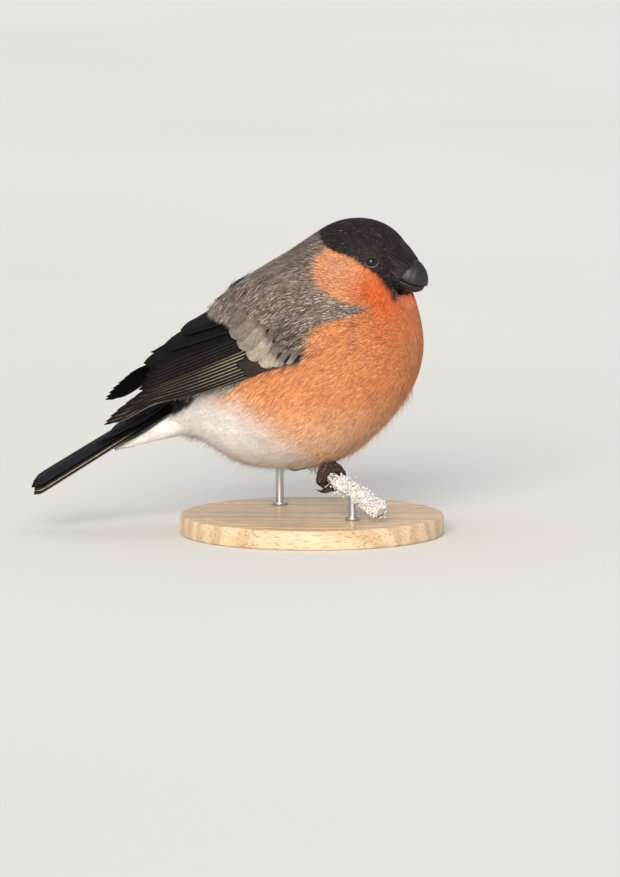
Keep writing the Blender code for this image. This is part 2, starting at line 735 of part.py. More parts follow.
# The stand: a flat round base and two short rods up to the twig.
def stand(parts, work, wood, steel):
    bpy.ops.mesh.primitive_cylinder_add(
        vertices=48, radius=BASE_RADIUS * MM, depth=BASE_HEIGHT * MM, location=(0, 0, BASE_HEIGHT * MM / 2)
    )
    base = bpy.context.object
    base.data.transform(base.matrix_world)
    base.matrix_world = Matrix.Identity(4)
    bevel = base.modifiers.new("edge", "BEVEL")
    bevel.width = BASE_BEVEL * MM
    bevel.segments = 2
    bevel.limit_method = "ANGLE"
    finished(base, "stand_base", parts, wood, 30)
    for name, place in zip(("stand_rod_far", "stand_rod_near"), ROD_PLACES):
        top = twig_at(place)
        bottom = BASE_HEIGHT + GAP
        bpy.ops.mesh.primitive_cylinder_add(
            vertices=24,
            radius=ROD_RADIUS * MM,
            depth=(top[2] - bottom) * MM,
            location=(top[0] * MM, top[1] * MM, (top[2] + bottom) * MM / 2),
        )
        rod = bpy.context.object
        rod.data.transform(rod.matrix_world)
        rod.matrix_world = Matrix.Identity(4)
        apply_boolean(rod, "DIFFERENCE", [twig(work, GAP)])
        finished(rod, name, parts, steel, 30)


def main():
    clear_scene()
    parts = collection("bullfinch")
    work = collection("work")
    rose = material("rose_plumage", (0.75, 0.27, 0.10), 0.75)
    grey = material("grey_plumage", (0.24, 0.19, 0.16), 0.75)
    black = material("black_plumage", (0.02, 0.018, 0.02), 0.55)
    white = material("white_plumage", (0.83, 0.79, 0.72), 0.8)
    horn = material("bill_horn", (0.03, 0.027, 0.026), 0.35)
    wet = material("eye", (0.012, 0.008, 0.006), 0.06)
    scaly = material("leg_skin", (0.07, 0.045, 0.035), 0.6)
    frosted = material("frosted_bark", (0.78, 0.77, 0.76), 0.5)
    wood = material("stand_wood", (0.62, 0.5, 0.36), 0.45)
    steel = material("stand_steel", (0.62, 0.62, 0.63), 0.3, 1.0)

    pieces = part_body(work)
    bill_start = np.array(bill_point(-GAP, 0, 0))
    keep_side(pieces["head"], bill_start, bill_start - np.array(bill_point(1, 0, 0)))
    sockets = [ball("socket", eye_centre(s), EYE_RADIUS + GAP, work, 16, 10) for s in (-1, 1)]
    head = apply_boolean(pieces["head"], "UNION", [lid_ring(s, work) for s in (-1, 1)])
    finished(apply_boolean(head, "DIFFERENCE", sockets), "head", parts, black)
    finished(pieces["neck"], "neck", parts, grey)
    cutters = [twig(work, GAP)]
    for side in (-1, 1):
        cutters += wing_clearance(side, work) + leg_clearance(side, work)
    torso = apply_boolean(pieces["torso"], "DIFFERENCE", cutters)
    finished(torso, "torso", parts, rose)
    for name, side in (("eye_right", -1), ("eye_left", 1)):
        finished(ball(name, eye_centre(side), EYE_RADIUS, work, 16, 10), name, parts, wet)
    for name, upper in (("bill_upper", True), ("bill_lower", False)):
        finished(mandible(name, upper, work), name, parts, horn)
    for name, side in (("wing_right", -1), ("wing_left", 1)):
        finished(wing(name, side, work), name, parts, black)
    finished(behind_torso(tail("tail", work)), "tail", parts, black)
    finished(behind_torso(undertail("undertail_coverts", work)), "undertail_coverts", parts, white)
    for name, side in (("leg_right", -1), ("leg_left", 1)):
        finished(leg(name, side, work), name, parts, scaly)
    finished(apply_boolean(twig(work), "UNION", frost_clumps(work)), "perch_twig", parts, frosted)
    stand(parts, work, wood, steel)
    bpy.data.collections.remove(work)


main()
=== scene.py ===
# %% [markdown]
# A male bullfinch rests on a short cut of frosted twig, which two rods hold over a round wooden base.
# The imported solids are loaded first, because every piece here is fitted round them. The box that they
# fill is kept.

# %% Load the imported model
import math

import bpy
import numpy as np
from mathutils import Matrix, Vector, kdtree


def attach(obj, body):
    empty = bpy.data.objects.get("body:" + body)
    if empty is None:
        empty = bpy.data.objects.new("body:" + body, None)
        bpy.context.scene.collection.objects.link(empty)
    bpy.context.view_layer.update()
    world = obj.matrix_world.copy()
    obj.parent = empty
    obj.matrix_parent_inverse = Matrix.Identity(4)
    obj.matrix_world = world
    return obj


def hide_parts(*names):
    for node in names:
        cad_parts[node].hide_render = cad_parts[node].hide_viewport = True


MM = 0.001
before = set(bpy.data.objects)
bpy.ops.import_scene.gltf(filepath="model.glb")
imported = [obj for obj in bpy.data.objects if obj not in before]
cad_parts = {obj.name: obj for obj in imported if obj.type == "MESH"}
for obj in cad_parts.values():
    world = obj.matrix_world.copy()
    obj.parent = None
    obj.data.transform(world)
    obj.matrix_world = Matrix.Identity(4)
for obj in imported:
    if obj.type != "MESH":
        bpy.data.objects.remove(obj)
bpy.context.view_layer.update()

# %% [markdown]
# The bird was seen with a long lens from its right side, a little from above. A pale floor reaches far
# enough back to fill the picture. One broad, low sun from behind the camera and an even sky give the
# soft light of a hazy winter day.

# %% Camera, light and floor
CAMERA_TARGET = (-0.6, 0.0, 28.9)
CAMERA_DISTANCE = 2215.0
CAMERA_RISE = math.radians(7.0)
CAMERA_LENS = 300.0
FLOOR_SIZE = 40.0
SUN_DIRECTION = (0.14, 0.92, -0.36)


def add_camera():
    data = bpy.data.cameras.new("camera")
    data.lens = CAMERA_LENS
    data.sensor_width = 36.0
    data.clip_end = 60.0
    camera = bpy.data.objects.new("camera", data)
    bpy.context.scene.collection.objects.link(camera)
    back = Vector((0.0, -math.cos(CAMERA_RISE), math.sin(CAMERA_RISE)))
    camera.location = (Vector(CAMERA_TARGET) + back * CAMERA_DISTANCE) * MM
    camera.rotation_mode = "QUATERNION"
    camera.rotation_quaternion = (-back).to_track_quat("-Z", "Y")
    bpy.context.scene.camera = camera
    return camera


def add_light():
    world = bpy.data.worlds.new("overcast_sky")
    bpy.context.scene.world = world
    world.use_nodes = True
    sky = world.node_tree.nodes["Background"]
    sky.inputs["Color"].default_value = (0.93, 0.96, 1.0, 1.0)
    sky.inputs["Strength"].default_value = 0.72
    data = bpy.data.lights.new("soft_sun", "SUN")
    data.energy = 3.55
    data.angle = math.radians(30.0)
    data.color = (1.0, 0.955, 0.89)
    sun = bpy.data.objects.new("soft_sun", data)
    bpy.context.scene.collection.objects.link(sun)
    sun.rotation_mode = "QUATERNION"
    sun.rotation_quaternion = Vector(SUN_DIRECTION).to_track_quat("-Z", "Y")
    bpy.context.scene.view_settings.view_transform = "Standard"
    return sun


camera = add_camera()
sun = add_light()
print("camera at", [round(c, 3) for c in camera.location], "m")

# %% [markdown]
# Most finishes need the same few steps: a Principled shader, a colour that changes with noise, and a
# bump from a fine pattern. These helpers keep each material below down to what is its own.

# %% Material helpers
def colour(red, green, blue):
    """A linear colour from display values of 0 to 255."""
    def linear(value):
        value /= 255.0
        return value / 12.92 if value <= 0.04045 else ((value + 0.055) / 1.055) ** 2.4

    return np.array([linear(red), linear(green), linear(blue)])


def new_material(name, roughness, **settings):
    """A material and its nodes, links and shader. The settings are uniform numbers on the shader."""
    made = bpy.data.materials.new(name)
    made.use_nodes = True
    nodes, links = made.node_tree.nodes, made.node_tree.links
    shader = nodes["Principled BSDF"]
    shader.inputs["Roughness"].default_value = roughness
    for setting, value in settings.items():
        shader.inputs[setting.replace("_", " ")].default_value = value
    return made, nodes, links, shader


def add_node(nodes, kind, **inputs):
    node = nodes.new(kind)
    for name, value in inputs.items():
        node.inputs[name.replace("_", " ")].default_value = value
    return node


def noise_map(nodes, links, place, scale, detail=3.0):
    noise = add_node(nodes, "ShaderNodeTexNoise", Scale=scale, Detail=detail)
    links.new(place, noise.inputs["Vector"])
    return noise.outputs["Fac"]


def ramp(nodes, links, factor, low, high, start=0.35, end=0.65):
    """A colour that goes from low to high as the factor goes from start to end."""
    made = nodes.new("ShaderNodeValToRGB")
    made.color_ramp.elements[0].position = start
    made.color_ramp.elements[1].position = end
    made.color_ramp.elements[0].color = (*low, 1.0)
    made.color_ramp.elements[1].color = (*high, 1.0)
    links.new(factor, made.inputs["Fac"])
    return made.outputs["Color"]


def add_bump(nodes, links, height, shader, strength, distance):
    bump = add_node(nodes, "ShaderNodeBump", Strength=strength, Distance=distance)
    links.new(height, bump.inputs["Height"])
    links.new(bump.outputs["Normal"], shader.inputs["Normal"])
    return bump


def shade_group():
    """Node group that makes a colour a little lighter and darker in soft patches."""
    group = bpy.data.node_groups.new("patchy_shade", "ShaderNodeTree")
    group.interface.new_socket("Color", in_out="INPUT", socket_type="NodeSocketColor")
    group.interface.new_socket("Scale", in_out="INPUT", socket_type="NodeSocketFloat")
    group.interface.new_socket("Darkest", in_out="INPUT", socket_type="NodeSocketFloat")
    group.interface.new_socket("Lightest", in_out="INPUT", socket_type="NodeSocketFloat")
    group.interface.new_socket("Color", in_out="OUTPUT", socket_type="NodeSocketColor")
    nodes, links = group.nodes, group.links
    given = nodes.new("NodeGroupInput")
    result = nodes.new("NodeGroupOutput")
    place = nodes.new("ShaderNodeTexCoord")
    noise = add_node(nodes, "ShaderNodeTexNoise", Detail=3.0)
    links.new(place.outputs["Object"], noise.inputs["Vector"])
    links.new(given.outputs["Scale"], noise.inputs["Scale"])
    spread = nodes.new("ShaderNodeMapRange")
    spread.inputs["From Min"].default_value = 0.3
    spread.inputs["From Max"].default_value = 0.7
    links.new(noise.outputs["Fac"], spread.inputs["Value"])
    links.new(given.outputs["Darkest"], spread.inputs["To Min"])
    links.new(given.outputs["Lightest"], spread.inputs["To Max"])
    shade = nodes.new("ShaderNodeVectorMath")
    shade.operation = "SCALE"
    links.new(given.outputs["Color"], shade.inputs[0])
    links.new(spread.outputs["Result"], shade.inputs["Scale"])
    links.new(shade.outputs["Vector"], result.inputs["Color"])
    return group


PATCHY_SHADE = shade_group()


def patchy(nodes, links, source, scale, darkest, lightest):
    """Puts the patchy shade group after a colour output."""
    node = nodes.new("ShaderNodeGroup")
    node.node_tree = PATCHY_SHADE
    node.inputs["Scale"].default_value = scale
    node.inputs["Darkest"].default_value = darkest
    node.inputs["Lightest"].default_value = lightest
    links.new(source, node.inputs["Color"])
    return node.outputs["Color"]


def floor_material():
    made, nodes, links, shader = new_material("pale_floor", 0.85)
    place = nodes.new("ShaderNodeTexCoord")
    mottle = noise_map(nodes, links, place.outputs["Object"], 1.4)
    pale, paler = colour(221, 217, 211), colour(224, 221, 215)
    links.new(ramp(nodes, links, mottle, pale, paler), shader.inputs["Base Color"])
    return made


def add_floor():
    bpy.ops.mesh.primitive_plane_add(size=FLOOR_SIZE)
    floor = bpy.context.object
    floor.name = "floor"
    floor.data.materials.append(floor_material())
    return floor


floor = add_floor()
print("materials so far:", [m.name for m in bpy.data.materials][-3:])

# %% [markdown]
# The body is drawn by the same slices as its solids. Each slice holds its back point and belly point
# (x, z), its half width, and how far it turns with the head. A place on the body is then a share, from
# the tail root to the bill, and an angle round the slice, from the back ridge. Both the skin and every
# tuft of the coat use that place, so that they stay together however the form is changed.

# %% The body's form
BODY_SLICES = [
    (-43.0, 46.4, -38.5, 30.4, 7.6, 0.0),
    (-39.2, 55.4, -34.2, 29.4, 12.2, 0.0),
    (-34.6, 63.2, -29.3, 26.4, 17.2, 0.0),
    (-29.4, 69.8, -23.5, 22.7, 21.6, 0.0),
    (-23.6, 75.4, -16.0, 20.7, 25.2, 0.0),
    (-17.0, 80.2, -7.0, 20.2, 27.6, 0.0),
    (-11.5, 83.6, 3.0, 21.2, 28.6, 0.0),
    (-8.0, 85.7, 12.5, 24.9, 28.4, 0.0),
    (-5.5, 87.3, 20.5, 31.7, 27.2, 0.0),
    (-2.5, 89.3, 27.2, 39.0, 25.2, 0.05),
    (0.0, 91.0, 31.8, 47.0, 22.4, 0.15),
    (2.3, 92.5, 33.8, 55.2, 18.8, 0.35),
    (5.5, 94.3, 33.6, 62.5, 15.4, 0.65),
    (9.5, 95.7, 32.4, 67.8, 13.1, 0.9),
    (13.9, 96.3, 31.0, 70.6, 11.8, 1.0),
    (18.2, 96.0, 29.9, 71.7, 10.8, 1.0),
    (22.2, 94.8, 29.2, 72.3, 9.6, 1.0),
    (25.8, 92.6, 28.6, 72.7, 8.4, 1.0),
    (28.5, 89.7, 28.0, 73.1, 7.1, 1.0),
    (30.3, 86.2, 27.3, 73.6, 5.9, 1.0),
]
HEAD_TURN = math.radians(22.0)
NECK_X = 9.0


def through(rows, share):
    """Points at shares, 0 to 1, of the smooth curve through rows. A share below 0 goes straight on."""
    rows = np.asarray(rows, float)
    place = np.minimum(np.asarray(share, float), 1.0) * (len(rows) - 1)
    i = np.clip(place.astype(int), 0, len(rows) - 2)
    t = np.maximum(place - i, 0.0)[..., None]
    a, b, c, d = (rows[np.clip(i + step, 0, len(rows) - 1)] for step in (-1, 0, 1, 2))
    curve = 0.5 * (2 * b + (c - a) * t + (2 * a - 5 * b + 4 * c - d) * t**2 + (3 * b - a - 3 * c + d) * t**3)
    return curve + (rows[1] - rows[0]) * np.minimum(place, 0.0)[..., None]


def turned(points, weight=1.0):
    """Points of the straight bird, turned about the neck as the head is."""
    points = np.asarray(points, float)
    angle = -HEAD_TURN * np.asarray(weight, float)
    dx, y = points[..., 0] - NECK_X, points[..., 1]
    x = NECK_X + dx * np.cos(angle) - y * np.sin(angle)
    return np.stack([x, dx * np.sin(angle) + y * np.cos(angle), points[..., 2]], -1)


def straight_point(share, angle, grow=0.0):
    """A place on the straight bird, and the weight with which it turns."""
    row = through(BODY_SLICES, share)
    back, belly = row[..., 0:2], row[..., 2:4]
    middle, rise = (back + belly) / 2, (back - belly) / 2
    scale = 1 + grow / np.linalg.norm(rise, axis=-1)
    x = middle[..., 0] + rise[..., 0] * scale * np.cos(angle)
    z = middle[..., 1] + rise[..., 1] * scale * np.cos(angle)
    y = (row[..., 4] + grow) * np.sin(angle)
    return np.stack([x, y, z], -1), np.clip(row[..., 5], 0.0, 1.0)


def body_point(share, angle, grow=0.0):
    return turned(*straight_point(share, angle, grow))


def unit(vectors):
    return vectors / np.maximum(np.linalg.norm(vectors, axis=-1, keepdims=True), 1e-9)


def body_directions(share, angle):
    """At places on the body: outwards, along the lie of the coat, and the length of one share."""
    step = 0.004
    ahead = body_point(share + step, angle) - body_point(share - step, angle)
    round_it = body_point(share, angle + step) - body_point(share, angle - step)
    outwards = unit(np.cross(round_it, ahead))
    inside = body_point(share, angle) - body_point(share, angle, -1.0)
    outwards *= np.sign(np.sum(outwards * inside, -1, keepdims=True))
    return outwards, -unit(ahead), np.linalg.norm(ahead, axis=-1) / (2 * step)


print("body length:", round(float(np.ptp(body_point(np.linspace(0, 1, 40), 0.0)[:, 0])), 1), "mm")

# %% [markdown]
# The folded wing lies on a smooth sheet beside the body, which u crosses from the shoulder to the tip
# and v from the belly towards the back. The coat runs over the wing's arm without a seam, so the sheet
# also tells how far the skin and the coat rise there.

# %% The wing's sheet
SHOULDER = (10.0, 66.0)
WING_TIP = (-63.3, 34.2)
WING_MIDDLE = -2.0
SHEET_REACH = [(-6, 24.5), (0, 27.0), (18, 29.6), (30, 28.0), (47, 21.8), (64, 13.2), (80, 8.0)]
SHEET_HEIGHT = [(-6, 30.0), (20, 27.5), (38, 23.0), (58, 18.8), (80, 16.0)]
ARM_LOW = [(-4, 1.0), (4, -1.8), (14, -3.3), (24, -3.7), (31, -3.5)]
ARM_HIGH = [(-4, 4.0), (4, 11.0), (14, 15.0), (24, 16.2), (31, 15.0)]
FAR_WING_FOLD = [
    (20, 0.0, 1.0), (38, 1.6, 0.84), (50, 3.4, 0.72), (60, 5.2, 0.6), (64, 5.2, 0.68), (68, 4.8, 0.85), (73, 4.8, 0.95),
    (80, 5.2, 1.0),
]
FAR_WING_LENGTH = 0.97
WING_SLOPE = math.atan2(WING_TIP[1] - SHOULDER[1], WING_TIP[0] - SHOULDER[0])
RIGHT, LEFT = -1, 1


def fitted(pairs, degree):
    xs, ys = zip(*pairs)
    return np.poly1d(np.polyfit(xs, ys, degree))


sheet_reach = fitted(SHEET_REACH, 4)
sheet_height = fitted(SHEET_HEIGHT, 2)


def wing_sheet(u, v, side):
    """Points of the sheet that a folded wing follows. The left wing is folded tighter and higher."""
    u, v = np.broadcast_arrays(np.asarray(u, float), np.asarray(v, float))
    if side == LEFT:
        at, lift, narrow = zip(*FAR_WING_FOLD)
        v = -1.0 + np.interp(u, at, lift) + (v + 1.0) * np.interp(u, at, narrow)
        u = u * FAR_WING_LENGTH
    ahead, rise = math.cos(WING_SLOPE), math.sin(WING_SLOPE)
    x = SHOULDER[0] + u * ahead + v * rise
    z = SHOULDER[1] + u * rise - v * ahead
    bulge = 1 - ((v - WING_MIDDLE) / sheet_height(u)) ** 2
    return np.stack([x, side * sheet_reach(u) * np.sqrt(np.maximum(bulge, 0.02)), z], -1)


def wing_point(u, v, out, side):
    """Places at distances out from the sheet of one wing."""
    along = wing_sheet(u + 1.0, v, side) - wing_sheet(u - 1.0, v, side)
    across = wing_sheet(u, v + 0.5, side) - wing_sheet(u, v - 0.5, side)
    normal = unit(np.cross(along, across))
    normal *= side * np.sign(normal[..., 1:2])
    return wing_sheet(u, v, side) + normal * np.asarray(out, float)[..., None]


def on_wing(points):
    """u and v of points, seen from the side."""
    ahead, rise = math.cos(WING_SLOPE), math.sin(WING_SLOPE)
    dx, dz = points[..., 0] - SHOULDER[0], points[..., 2] - SHOULDER[1]
    return dx * ahead + dz * rise, dx * rise - dz * ahead


def smooth_step(value, start, end):
    t = np.clip((value - start) / (end - start), 0.0, 1.0)
    return t * t * (3 - 2 * t)


RISE_SHARES, RISE_ANGLES = 240, 360


def measure_rise(last_u, over):
    """How far the wing's arm stands out of the body, on a grid of shares and angles."""
    shares, angles = np.meshgrid(np.linspace(0, 1, RISE_SHARES), np.linspace(0, 2 * np.pi, RISE_ANGLES), indexing="ij")
    points = body_point(shares, angles)
    outwards, _, _ = body_directions(np.clip(shares, 0.005, 0.995), angles)
    u, v = on_wing(points)
    low, high = fitted(ARM_LOW, 3)(np.clip(u, -4, 31)), fitted(ARM_HIGH, 3)(np.clip(u, -4, 31))
    bulge = 1 - ((v - WING_MIDDLE) / sheet_height(np.clip(u, -8, 60))) ** 2
    reach = sheet_reach(np.clip(u, -8, 60)) * np.sqrt(np.clip(bulge, 0.02, 1.0))
    needed = (reach + over - np.abs(points[..., 1])) / np.maximum(np.abs(outwards[..., 1]), 0.45)
    inside = smooth_step(u, -9.0, -1.0) * smooth_step(-u, -last_u - 4.0, -last_u)
    inside *= smooth_step(v, low - 1.3, low + 0.4) * smooth_step(-v, -high - 4.0, -high + 1.0)
    rise = np.clip(needed, 0.0, 5.0) * inside
    for _ in range(3):
        rise = (np.roll(rise, 1, 1) + 2 * rise + np.roll(rise, -1, 1)) / 4
        rise[1:-1] = (rise[:-2] + 2 * rise[1:-1] + rise[2:]) / 4
    return rise


def read_rise(grid, share, angle):
    """The rise at places between the grid's own."""
    i = np.clip(share, 0.0, 1.0) * (RISE_SHARES - 1)
    j = np.mod(angle, 2 * np.pi) / (2 * np.pi) * (RISE_ANGLES - 1)
    i0, j0 = np.minimum(i.astype(int), RISE_SHARES - 2), np.minimum(j.astype(int), RISE_ANGLES - 2)
    a, b = i - i0, j - j0
    top = grid[i0, j0] * (1 - b) + grid[i0, j0 + 1] * b
    return top * (1 - a) + (grid[i0 + 1, j0] * (1 - b) + grid[i0 + 1, j0 + 1] * b) * a


ARM_RISE = measure_rise(27.0, 0.9)
COAT_RISE = measure_rise(31.0, 1.7)
print("the arm stands out of the body by up to", round(float(ARM_RISE.max()), 1), "mm")

# %% [markdown]
# A cock bullfinch wears few colours in large fields: a black cap that ends at the eye and runs round
# the bill to the chin, a grey back, a brick pink front and a white vent. Each field is an outline on the
# straight bird seen from the side, in x and z, so that both sides carry the same markings. The skin and
# each tuft ask the same function for their colour, and the edges waver as feather tips do.

# %% The plumage's fields of colour
CAP = [
    (1.6, 94.0), (3.3, 90.7), (5.8, 88.5), (8.7, 87.2), (11.7, 86.4), (14.2, 85.9), (16.6, 85.2), (19.3, 83.9),
    (21.4, 82.6), (23.5, 81.3), (25.1, 80.0), (25.9, 78.7), (26.5, 77.4), (27.6, 75.7), (28.1, 74.7), (28.4, 73.6),
    (28.5, 73.0), (29.5, 72.6), (42.0, 72.0), (42.0, 102.0), (-2.0, 102.0),
]
GREY_BACK = [
    (1.6, 96.0), (6.0, 89.0), (4.5, 87.3), (1.7, 85.7), (0.6, 83.5), (0.5, 80.8), (2.3, 76.9), (5.9, 74.9),
    (8.5, 73.4), (12.7, 72.2), (17.0, 71.0), (19.2, 70.1), (13.7, 68.9), (7.5, 67.2), (2.4, 66.0), (0.0, 64.4),
    (-1.2, 61.1), (-1.8, 58.8), (-1.8, 55.6), (-13.3, 52.4), (-20.0, 49.6), (-25.5, 44.8), (-29.5, 42.6),
    (-32.5, 45.0), (-60.0, 60.0), (-45.0, 110.0), (0.0, 110.0),
]
WHITE_VENT = [
    (-31.5, 47.5), (-25.5, 44.2), (-21.2, 40.5), (-17.0, 36.2), (-11.5, 31.2), (-5.5, 27.6), (-1.5, 23.5), (2.0, 14.0),
    (-60.0, 5.0), (-60.0, 52.0),
]
TAIL_BLACK = [(-50.0, 43.6), (-34.5, 43.4), (-37.0, 39.9), (-42.4, 36.2), (-50.0, 34.0)]
WHITE_RUMP = [(-38.0, 56.0), (-38.0, 90.0), (-70.0, 90.0), (-70.0, 40.0), (-42.0, 44.0)]
BLACK, GREY, ROSE, WHITE = range(4)
INKS = {
    "cap": colour(25, 20, 20),
    "cap_sheen": colour(46, 39, 39),
    "mantle": colour(136, 122, 112),
    "mantle_dark": colour(107, 96, 88),
    "nape": colour(107, 96, 89),
    "covert_dark": colour(49, 43, 42),
    "breast": colour(225, 150, 99),
    "breast_brown": colour(198, 131, 92),
    "throat": colour(214, 106, 58),
    "cheek_pale": colour(214, 154, 117),
    "belly": colour(227, 185, 152),
    "white": colour(228, 223, 218),
    "white_dull": colour(211, 202, 192),
    "flank_grey": colour(167, 157, 145),
}


def waves(points, length, seed, count=10):
    """A smooth random field between about -1 and 1 whose swells are about this long."""
    draw = np.random.default_rng(seed)
    ways = unit(draw.normal(size=(count, 3))) * (2 * np.pi / length) * draw.uniform(0.7, 1.4, (count, 1))
    return np.sin(points @ ways.T + draw.uniform(0, 2 * np.pi, count)).sum(-1) / math.sqrt(count / 2) / 2


def depth_inside(points, outline):
    """How deep points (x, z) lie inside an outline, negative outside it."""
    outline = np.asarray(outline, float)
    x, z = points[:, 0], points[:, 2]
    nearest = np.full(len(points), 1e9)
    crossings = np.zeros(len(points), int)
    for (x0, z0), (x1, z1) in zip(outline, np.roll(outline, -1, 0)):
        dx, dz = x1 - x0, z1 - z0
        t = np.clip(((x - x0) * dx + (z - z0) * dz) / (dx * dx + dz * dz), 0, 1)
        nearest = np.minimum(nearest, np.hypot(x - x0 - t * dx, z - z0 - t * dz))
        if dz != 0:
            crossings += ((z0 > z) != (z1 > z)) & (x < x0 + (z - z0) / dz * dx)
    return np.where(crossings % 2 == 1, nearest, -nearest)


def near(points, place, size):
    """1 at a place (x, z), falling to 0 over the size."""
    return np.exp(-((points[:, 0] - place[0]) ** 2 + (points[:, 2] - place[1]) ** 2) / (2 * size**2))


def blend(first, second, share):
    share = np.clip(share, 0, 1)[:, None]
    return first * (1 - share) + second * share


def rose_colours(points):
    tone = waves(points, 9.0, 1)
    made = np.tile(INKS["breast"], (len(points), 1))
    made = blend(made, INKS["breast_brown"], 0.25 + 0.3 * tone)
    made = blend(made, INKS["throat"], 0.3 * near(points, (25.0, 63.0), 7.0))
    made = blend(made, INKS["belly"], smooth_step(-points[:, 2], -46.0, -26.0) * 0.8)
    made = blend(made, INKS["throat"], 0.95 * near(points, (26.5, 73.5), 6.0) + 0.6 * near(points, (20.0, 76.5), 4.2))
    return blend(made, INKS["cheek_pale"], 1.05 * near(points, (7.5, 82.5), 4.6) + 0.4 * near(points, (17.0, 83.0), 3.4))


def grey_colours(points):
    made = np.tile(INKS["mantle"], (len(points), 1))
    made = blend(made, INKS["mantle_dark"], 0.35 + 0.35 * waves(points, 5.5, 2))
    made = blend(made, INKS["nape"], 0.8 * near(points, (-1.0, 91.0), 6.0))
    made = blend(made, INKS["flank_grey"], 1.2 * near(points, (-27.5, 44.5), 3.0))
    u, v = on_wing(points)
    streak = np.sin(v * 2.6 + 0.8 * waves(points, 7.0, 3)) > 0.35
    shadow = smooth_step(u, 11.0, 17.0) * smooth_step(-v, -9.5, -5.0) * smooth_step(v, -4.0, -2.0)
    return blend(made, INKS["covert_dark"], shadow * (0.25 + 0.6 * streak))


def plumage(points, waver):
    """The colour of places on the straight bird, and which of the four fields each is in."""
    points = points.copy()
    points[:, 1] = np.abs(points[:, 1])
    spread = 0.6 + 1.7 * near(points, (1.0, 63.0), 5.5)
    moved = points + (waver * spread)[:, None] * np.array([1.0, 0.0, 0.6])
    moved += 0.45 * waves(points, 3.2, 5)[:, None] * np.array([1.0, 0.0, 1.0])
    grey = smooth_step(depth_inside(moved, GREY_BACK), -0.5, 0.5)
    white = smooth_step(depth_inside(moved + 0.9 * waver[:, None], WHITE_VENT), -5.0, 4.0)
    rump = smooth_step(depth_inside(moved, WHITE_RUMP), -0.6, 0.6)
    neat = points + (0.22 * waver + 0.3 * waves(points, 2.4, 6))[:, None] * np.array([0.7, 0.0, 0.7])
    cap = smooth_step(depth_inside(neat, CAP), -0.2, 0.2)
    pale = blend(np.tile(INKS["white"], (len(points), 1)), INKS["white_dull"], 0.3 + 0.45 * waves(points, 6.0, 7))
    made = blend(rose_colours(points), grey_colours(points), grey)
    made = blend(made, pale, white * (1 - 0.85 * near(points, (-27.5, 45.5), 3.0)))
    made = blend(made, pale, rump)
    tail_black = smooth_step(depth_inside(moved, TAIL_BLACK), -0.5, 0.5)
    made = blend(made, INKS["cap"], tail_black)
    black = blend(np.tile(INKS["cap"], (len(points), 1)), INKS["cap_sheen"], 0.25 + 0.12 * waves(points, 1.6, 8))
    made = blend(made, black, cap)
    field = np.where(grey > 0.5, GREY, ROSE)
    field = np.where(np.maximum(white, rump) > 0.5, WHITE, field)
    return made, np.where(np.maximum(cap, tail_black) > 0.5, BLACK, field)


print("colour fields:", len(CAP) + len(GREY_BACK) + len(WHITE_VENT) + len(WHITE_RUMP), "outline points")

# %% [markdown]
# Feathers are matt with a faint velvet sheen at grazing angles. One function makes the four plumage
# finches, which differ in gloss and sheen. Their colour comes from the attribute that the code paints on
# the skin and on each tuft.

# %% Plumage materials
def plumage_material(name, roughness, sheen, specular):
    made, nodes, links, shader = new_material(
        name, roughness, Sheen_Weight=sheen, Sheen_Roughness=0.45, Specular_IOR_Level=specular
    )
    painted = nodes.new("ShaderNodeAttribute")
    painted.attribute_name = "Plumage"
    shaded = patchy(nodes, links, painted.outputs["Color"], 900.0, 0.9, 1.08)
    links.new(shaded, shader.inputs["Base Color"])
    place = nodes.new("ShaderNodeTexCoord")
    barbs = noise_map(nodes, links, place.outputs["Object"], 2600.0, 2.0)
    add_bump(nodes, links, barbs, shader, 0.25, 0.0001)
    return made


FIELD_NAMES = {BLACK: "black", GREY: "grey", ROSE: "rose", WHITE: "white"}
PLUMAGE = {
    BLACK: plumage_material("black_plumage", 0.6, 0.03, 0.2),
    GREY: plumage_material("grey_plumage", 0.85, 0.08, 0.1),
    ROSE: plumage_material("rose_plumage", 0.9, 0.1, 0.08),
    WHITE: plumage_material("white_plumage", 0.9, 0.1, 0.08),
}
print("plumage materials:", [m.name for m in PLUMAGE.values()])

# %% [markdown]
# Under the coat lies one skin from the tail root to the bill. It starts as a UV sphere whose rings are
# pulled onto the body's slices, so it closes at both ends and no seam shows between torso, neck and head.
# It lies inside the solids by the depth of the coat, which is thin on the face and thick on the belly.

# %% Skin
SKIN_SEGMENTS, SKIN_RINGS = 120, 150
COAT_DEPTHS = [(0.0, 1.2), (0.1, 1.5), (0.45, 1.4), (0.6, 1.0), (0.75, 0.7), (1.0, 0.45)]


def coat_depth(share):
    at, depth = zip(*COAT_DEPTHS)
    return np.interp(share, at, depth)


def mesh_points(mesh):
    points = np.empty(len(mesh.vertices) * 3)
    mesh.vertices.foreach_get("co", points)
    return points.reshape(-1, 3)


def move_points(mesh, points):
    mesh.vertices.foreach_set("co", np.asarray(points, float).ravel())
    mesh.update()


def paint(mesh, colours):
    """Stores one colour for each vertex as the attribute that the plumage materials read."""
    layer = mesh.color_attributes.new("Plumage", "FLOAT_COLOR", "POINT")
    filled = np.ones((len(mesh.vertices), 4))
    filled[:, :3] = np.clip(colours, 0.0, 1.0)
    layer.data.foreach_set("color", filled.ravel())


def dress(obj, material=None):
    """Smooths a finished piece, gives it its material, and lets it ride on the body."""
    if material is not None:
        obj.data.materials.clear()
        obj.data.materials.append(material)
    if not obj.data.has_custom_normals:
        obj.data.shade_smooth()
    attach(obj, "root")
    return obj


